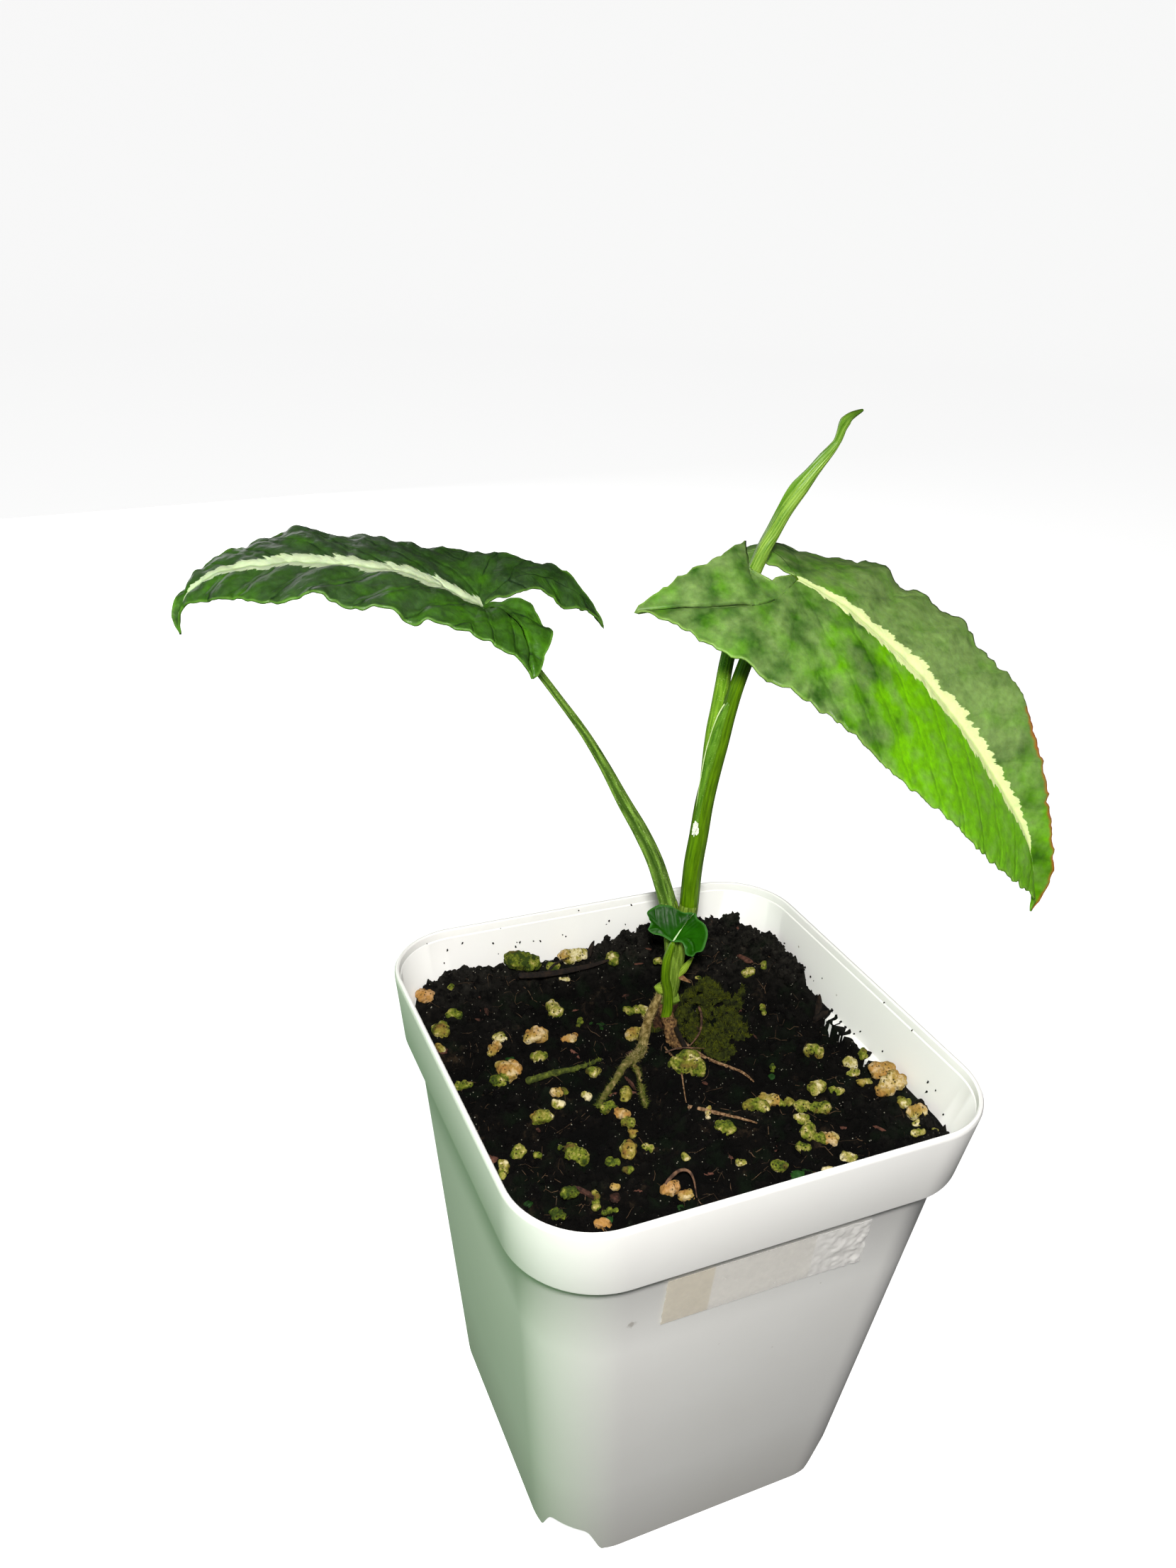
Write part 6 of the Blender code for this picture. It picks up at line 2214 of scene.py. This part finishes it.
def small_leaf() -> LeafBlade:
    """Describe the small juvenile leaf: glossy, standing up beside the stem.

    Returns:
        The blade, not built yet.
    """
    halves = {
        Side.LEFT: HalfOutline(
            ((0, 0, 0), (0.3, 0.9, 0.2), (1, 2.5, 0.6), (1.1, 4.5, 0.9), (1.7, 5.8, 1)),
            ((0, 0, 0), (1.3, 1.7, 0), (2.6, 3.9, 0.4), (1.7, 5.8, 1)),
            ((1.7, 5.8, 1), (3.6, 5.5, 0.8), (4.5, 6.1, 1.2), (5.7, 6.6, 1.3), (7.5, 4.6, 0.8),
             (7.9, 2, 0.2), (7, -0.8, -0.3), (7.3, -2.5, 0), (7.4, -3.4, -0.2)),
        ),
        Side.RIGHT: HalfOutline(
            ((0, 0, 0), (0.3, -1, 0.1), (0.4, -2.1, 0.2), (-0.6, -2.8, 0.3), (-1.9, -3.4, 0.5),
             (-2.1, -5, 0.6)),
            ((0, 0, 0), (1.4, -2.6, 0), (0.4, -4.5, 0.2), (-2.1, -5, 0.6)),
            ((-2.1, -5, 0.6), (-1.1, -5.4, 0.6), (-0.3, -7, 0.9), (2.1, -7.4, 0.8),
             (4.3, -7.2, 0.9), (5.6, -6, 0.6), (6.2, -4.6, 0.3), (7.2, -4, 0.2), (7.4, -3.4, -0.2)),
        ),
    }
    top = LeafSkin(
        "juvenile_leaf_cuticle", 0.3, 1.45, deep="#123E02", lush_and_glow="#1F5A04", veil="#1A4E06",
        stripe="#C8D8B0", rim="#5C9A4C", vein="#0C3004", rim_share=0.3, ragged=0.1, marbling=0.15,
        relief=0.12, shine=0.04,
    )
    under = LeafSkin(
        "juvenile_leaf_underside", 0.5, 1.42, deep="#2F6A26", lush_and_glow="#3A7A30", veil="#356E2A",
        stripe="#86A878", rim="#3F8A40", vein="#235A1C", marbling=0.2,
    )
    return LeafBlade(
        "small_leaf", "leaf_small", "small_leaf_green", (8.0, 16.6, 115.6), 50.0,
        ((0, 0, 0), (3.1, -1.3, 0.2), (5.5, -2.4, 0.2), (7.4, -3.4, -0.2)),
        halves, top, under, pitch=60.0, arch=0.0, slant=0.95, thick=0.32, ribs=(20, 30, 14),
        stripe=((0, 0.32), (0.4, 0.22), (0.5, 0.01), (1, 0.01)),
        vein_gap=2.4, vein_lean=0.5, pillow=0.12, ruffle=0.25, crinkle=0.06, scallop=0.12,
    )


# Roots and moss


@dataclass
class Roots:
    """Roots above the mix: a fuzzy pair, a brown stub and thin dry threads.

    A run is a route that lies on the mix, as places to the right of the middle and behind it.
    """

    mix: PottingMix
    fuzzy: Line = ((7.9, 20.6, 98.4), (5.4, 19.3, 95.4), (3.6, 17.6, 93.2))
    fuzzy_run: Line = (
        (1.6, 14.8), (-1.6, 11.4), (-5, 8.6), (-9.3, 4.6), (-13.2, 1.2), (-16.4, -2),
    )
    branch_run: Line = ((-1.6, 11.4), (-3.8, 7.6), (-4.6, 3.6), (-5.8, -0.4), (-7.0, -4.6))
    stub: Line = ((9.9, 20.6, 94.0), (9.8, 18.0, 92.8))
    stub_run: Line = ((9.6, 15.4), (9.3, 13.2), (9.2, 11.2))
    threads: tuple[tuple[str, Line, float], ...] = (
        ("dry_root", ((11.6, 16.6), (11.3, 11.0), (12.2, 5.6), (14.6, 1.0), (17.3, -2.6),
                      (18.3, -6)), 0.42),
        ("hair_root", ((6.4, 13.0), (5.6, 8.0), (5.0, 3.8), (2.9, -2.7), (1.1, -7.5)), 0.22),
        ("low_root", ((0.6, -9.6), (4.3, -12.6), (8.2, -16.0), (11.4, -19.0)), 0.36),
    )
    green_run: Line = ((-28.0, 9.6), (-22.8, 10.0), (-16.6, 9.9), (-10.4, 11.6))
    green_radius: float = 0.7

    def over(self, run: Line, radius: float) -> list[tuple[float, float, float]]:
        """Lay a root on the mix.

        Args:
            run: Places that it passes.
            radius: Radius of the root.

        Returns:
            Its route.
        """
        dense = smooth_line([(x, y, 0) for x, y in run], 3)
        gap = radius * 0.6 + 0.5
        return [(p.x, p.y, self.mix.smooth_height(p.x, p.y) + gap) for p in dense]

    def add_hairs(
        self,
        name: str,
        line: Line,
        count: int,
        long: float,
        seed: int,
        fuzz: Finish,
        slot: str = "root_tan",
    ) -> None:
        """Model and dress the fine hairs that stand out from a root.

        Args:
            name: Name of the piece.
            line: Route of the root.
            count: Number of hairs.
            long: Length of a hair.
            seed: Seed of their places.
            fuzz: Finish of the hairs.
            slot: Record slot of the hairs.
        """
        draw = random.Random(seed)
        dense = smooth_line(line, 4)
        spots = []
        for _ in range(count):
            spot = draw.choice(dense) + Vector([draw.uniform(-0.3, 0.3) for _ in range(3)])
            turn = spin(draw, 0.9)
            wide = draw.uniform(0.07, 0.14)
            spots.append((spot, turn, (wide, wide, long * draw.uniform(0.5, 1.3))))
        finish_piece(scatter(name, [add_spike()], spots), slot, [fuzz])

    def thread(self, name: str, run: Line, radius: float, skin: Finish, slot: str) -> None:
        """Model and dress one thin root that lies on the mix.

        Args:
            name: Name of the piece.
            run: Places that it passes.
            radius: Radius of the root.
            skin: Its finish.
            slot: Its record slot.
        """
        radii = (radius, radius, radius * 0.8, radius * 0.4)
        root = tube(name, self.over(run, radius), radii, 10, 2, self.rough)
        finish_piece(root, slot, [skin], "root_" + name.removesuffix("_root"))

    @staticmethod
    def rough(fraction: float, angle: float) -> float:
        """Swell a root's skin unevenly.

        Args:
            fraction: Fraction of the way along the root.
            angle: Angle round it.

        Returns:
            Factor on the radius.
        """
        y, z = math.cos(angle), math.sin(angle)
        swell = noise.noise(Vector((22 * fraction, 1.4 * y, 1.4 * z)))
        return 1 + 0.3 * swell + 0.3 * noise.noise(Vector((70 * fraction, 4 * y, 4 * z)))

    def build(self) -> None:
        """Model and dress every root."""
        tan = Fibrous("root_bark", 0.85, 1.45, dark="#3A2614", light="#A07C4C", grain=0.714)
        fuzz = Fibrous("root_fuzz", 0.9, 1.4, dark="#6A5628", light="#D2BE86", grain=0.714)
        mossy = Fibrous("mossy_root", 0.9, 1.4, dark="#2C3410", light="#6A7428", grain=0.714)
        bark = Fibrous(
            "fuzzy_root_bark", 0.9, 1.4, dark="#54451F", light="#BEA870", far="#46501A",
            turns=(8.0, 14.0),
        )
        main = [*self.fuzzy, *self.over(self.fuzzy_run, 0.8)]
        branch = self.over(self.branch_run, 0.5)
        trunk = join_all("fuzzy_root", [
            tube("fuzzy", main, (0.9, 1.15, 1.2, 1.0, 0.7, 0.65, 0.5), 18, 3, self.rough),
            tube("branch", branch, (0.6, 0.5, 0.35), 14, 2, self.rough),
        ])
        finish_piece(trunk, "root_tan", [bark], "root_fuzzy")
        self.add_hairs("root_hairs", main[:9], 1700, 1.5, 3, fuzz)
        self.add_hairs("green_root_hairs", [*main[8:], *branch], 1500, 1.2, 4, mossy)
        stub_line = [*self.stub, *self.over(self.stub_run, 1.0)]
        stub = tube("stub_root", stub_line, (1.5, 1.6, 1.4, 1.1, 0.9), 24, 4, self.rough)
        finish_piece(stub, "root_tan", [tan], "root_stub")
        self.add_hairs("stub_root_hairs", stub_line, 700, 0.7, 7, tan)
        for name, run, radius in self.threads:
            skin = Fibrous(f"{name}_bark", 0.8, 1.45, dark="#4E3620", light="#C09C74", grain=0.556)
            self.thread(name, run, radius, skin, "root_tan")
        self.thread("green_root", self.green_run, self.green_radius, mossy, "root_mossy")
        green = self.over(self.green_run, self.green_radius)
        self.add_hairs("green_thread_hairs", green, 420, 0.7, 6, mossy, "root_mossy")


@dataclass
class Moss:
    """Cushion of dark moss on the mix behind the stem."""

    mix: PottingMix
    outline: Line = (
        (4.4, 18.5), (8.8, 24.1), (13.2, 26.2), (16.2, 25.2), (20.4, 26.6), (24.9, 27.4),
        (25.8, 24.7), (25.5, 21), (29.2, 21.1), (32.3, 22.4), (29.5, 18.7), (26.8, 16.9),
        (25.8, 13.6), (27, 9.2), (21.8, 7.1), (19.3, 4.6), (14.9, 1.2), (15.1, 6.1), (13.6, 8.3),
        (10.3, 7.4), (10.6, 11.1), (9.2, 11.6),
    )
    lump_count: int = 520
    tip_count: int = 6500
    thinnest: float = -0.3

    def cover(self, x: float, y: float) -> bool:
        """Tell whether the moss grows at a place.

        Args:
            x: Place to the right of the middle.
            y: Place behind the middle.

        Returns:
            True within the outline, away from the roots and outside the bare patches.
        """
        inside = False
        for (ax, ay), (bx, by) in zip(self.outline, [*self.outline[1:], self.outline[0]]):
            if (ay > y) != (by > y) and x < (bx - ax) * (y - ay) / (by - ay) + ax:
                inside = not inside
        near_roots = math.hypot(x - 7, y - 15) < 6
        dense = noise.noise(Vector((x / 2.2, y / 2.2, 4))) > self.thinnest
        return inside and not near_roots and dense

    def height(self, x: float, y: float) -> float:
        """Give the height of the moss at a place.

        Args:
            x: Place to the right of the middle.
            y: Place behind the middle.

        Returns:
            The height above the foot.
        """
        ridge = 2.2 * math.exp(-(((x - 20) / 7) ** 2) - ((y - 23) / 3.5) ** 2)
        lumps = 0.9 * noise.noise(Vector((x / 2.6, y / 2.6, 1)))
        return self.mix.rough_height(x, y) + ridge + lumps

    def build(self) -> None:
        """Model the cushion's lumps and its fine leaves."""
        draw = random.Random(8)
        lumps, tips = [], []
        while len(lumps) < self.lump_count:
            x, y = draw.uniform(4, 33), draw.uniform(1, 28)
            if self.cover(x, y):
                size = draw.uniform(0.8, 2.0)
                spot = (x, y, self.height(x, y) + 0.3)
                lumps.append((spot, spin(draw), (size, size, size * 0.8)))
        while len(tips) < self.tip_count:
            x, y = draw.uniform(4, 33), draw.uniform(1, 28)
            if self.cover(x, y):
                turn = spin(draw, 0.55)
                wide = draw.uniform(0.1, 0.22)
                spot = (x, y, self.height(x, y) + draw.uniform(0.2, 1.0))
                tips.append((spot, turn, (wide, wide, draw.uniform(0.5, 1.1))))
        shapes = [lumpy_ball(f"moss_{n}", 2, 0.6, n) for n in range(4)]
        bed = Fibrous("moss_bed", 0.95, 1.4, dark="#090C02", light="#323808")
        finish_piece(scatter("moss_cushion", shapes, lumps), "peat_and_bark", [bed])
        leaf = Fibrous("moss_leaf", 0.9, 1.4, dark="#121602", light="#4E540A")
        finish_piece(scatter("moss_tufts", [add_spike()], tips), "peat_and_bark", [leaf])


# Studio


@dataclass
class Studio:
    """Camera, lights and pale floor."""

    eye: Point = (-105.93, -184.76, 261.59)
    right: Point = (0.918525, -0.392521, 0.047310)
    down: Point = (-0.128048, -0.408564, -0.903703)
    ahead: Point = (0.374052, 0.824016, -0.425538)
    lens: float = 28.15
    floor_radius: float = 2.4
    sweep_up: Line = ((0.04, 1.06), (0.1, 1.05), (0.2, 1.04), (0.3, 1.02), (1.2, 1.0))
    surroundings: float = 0.07

    def build_camera(self) -> None:
        """Set the camera at the photograph's place."""
        data = bpy.data.cameras.new("camera")
        data.lens = self.lens
        data.sensor_width = 36
        data.clip_start = 0.005
        camera = add_object("camera", data)
        turn = Matrix((self.right, -Vector(self.down), -Vector(self.ahead))).transposed()
        camera.matrix_world = Matrix.Translation(place(self.eye)) @ turn.to_4x4()
        bpy.context.scene.camera = camera

    def add_light(
        self, name: str, spot: Point, aim: Point, size: float, power: float, colour: str
    ) -> None:
        """Add a square light.

        Args:
            name: Name of the light.
            spot: Place of the light, in millimetres.
            aim: Point that it faces.
            size: Side of the square, in millimetres.
            power: Power in watts.
            colour: Hex colour.
        """
        data = bpy.data.lights.new(name, "AREA")
        data.size = size * MM
        data.energy = power
        data.color = srgb(colour)[:3]
        light = add_object(name, data)
        light.location = place(spot)
        light.rotation_euler = (Vector(aim) - Vector(spot)).to_track_quat("-Z", "Y").to_euler()

    def build_floor(self) -> None:
        """Lay the floor, which curves up into a backdrop."""
        deselect_all()
        bpy.ops.mesh.primitive_circle_add(vertices=96, radius=self.floor_radius, fill_type="NGON")
        floor = bpy.context.object
        floor.name = "studio_floor"
        select_border()
        for rise, grow in self.sweep_up:
            bpy.ops.mesh.extrude_edges_move(TRANSFORM_OT_translate={"value": (0, 0, rise)})
            bpy.ops.transform.resize(value=(grow, grow, 1))
        settle_faces(inside=True)
        floor.visible_diffuse = floor.visible_glossy = False
        floor.data.materials.append(FloorPaper("pale_floor_paper", 0.9, 1.4).build())
        floor.data.shade_smooth()

    def build_lights(self) -> None:
        """Set the soft lights and the pale surroundings."""
        white, warm, green = "#FFFFFF", "#FFFDFB", "#B2FFA6"
        for name, spot, aim, size, power, colour in (
            ("near_key", (-108, -196, 312), (5, 0, 108), 30, 1.4, warm),
            ("overhead", (0, -200, 1700), (0, 100, 0), 1800, 1.5, white),
            ("green_bounce", (-420, 0, 90), (-30, 0, 60), 260, 0.5, green),
            ("back_fill", (-150, 900, 260), (0, 40, 90), 600, 3.0, white),
            ("right_fill", (330, -190, 120), (40, 0, 60), 300, 0.16, white),
        ):
            self.add_light(name, spot, aim, size, power, colour)
        world = bpy.data.worlds.new("studio")
        world.use_nodes = True
        tint, strength = world.node_tree.nodes["Background"].inputs[:2]
        tint.default_value = srgb(white)
        strength.default_value = self.surroundings
        bpy.context.scene.world = world
        bpy.context.scene.view_settings.view_transform = "Standard"

    def build(self) -> None:
        """Set up the camera, the floor and the lights."""
        self.build_camera()
        self.build_floor()
        self.build_lights()


def main() -> None:
    """Build the whole plant and its surroundings."""
    logging.basicConfig(level=logging.INFO, format="%(message)s")
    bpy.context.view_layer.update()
    Studio().build()
    pot = NurseryPot()
    pot.build()
    LabelTape().build(pot)
    mix = PottingMix(pot)
    mix.build()
    Moss(mix).build()
    Shoot().build()
    Roots(mix).build()
    for leaf in (left_leaf(), right_leaf(), small_leaf()):
        leaf.build()
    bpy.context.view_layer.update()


if __name__ == "__main__":
    main()
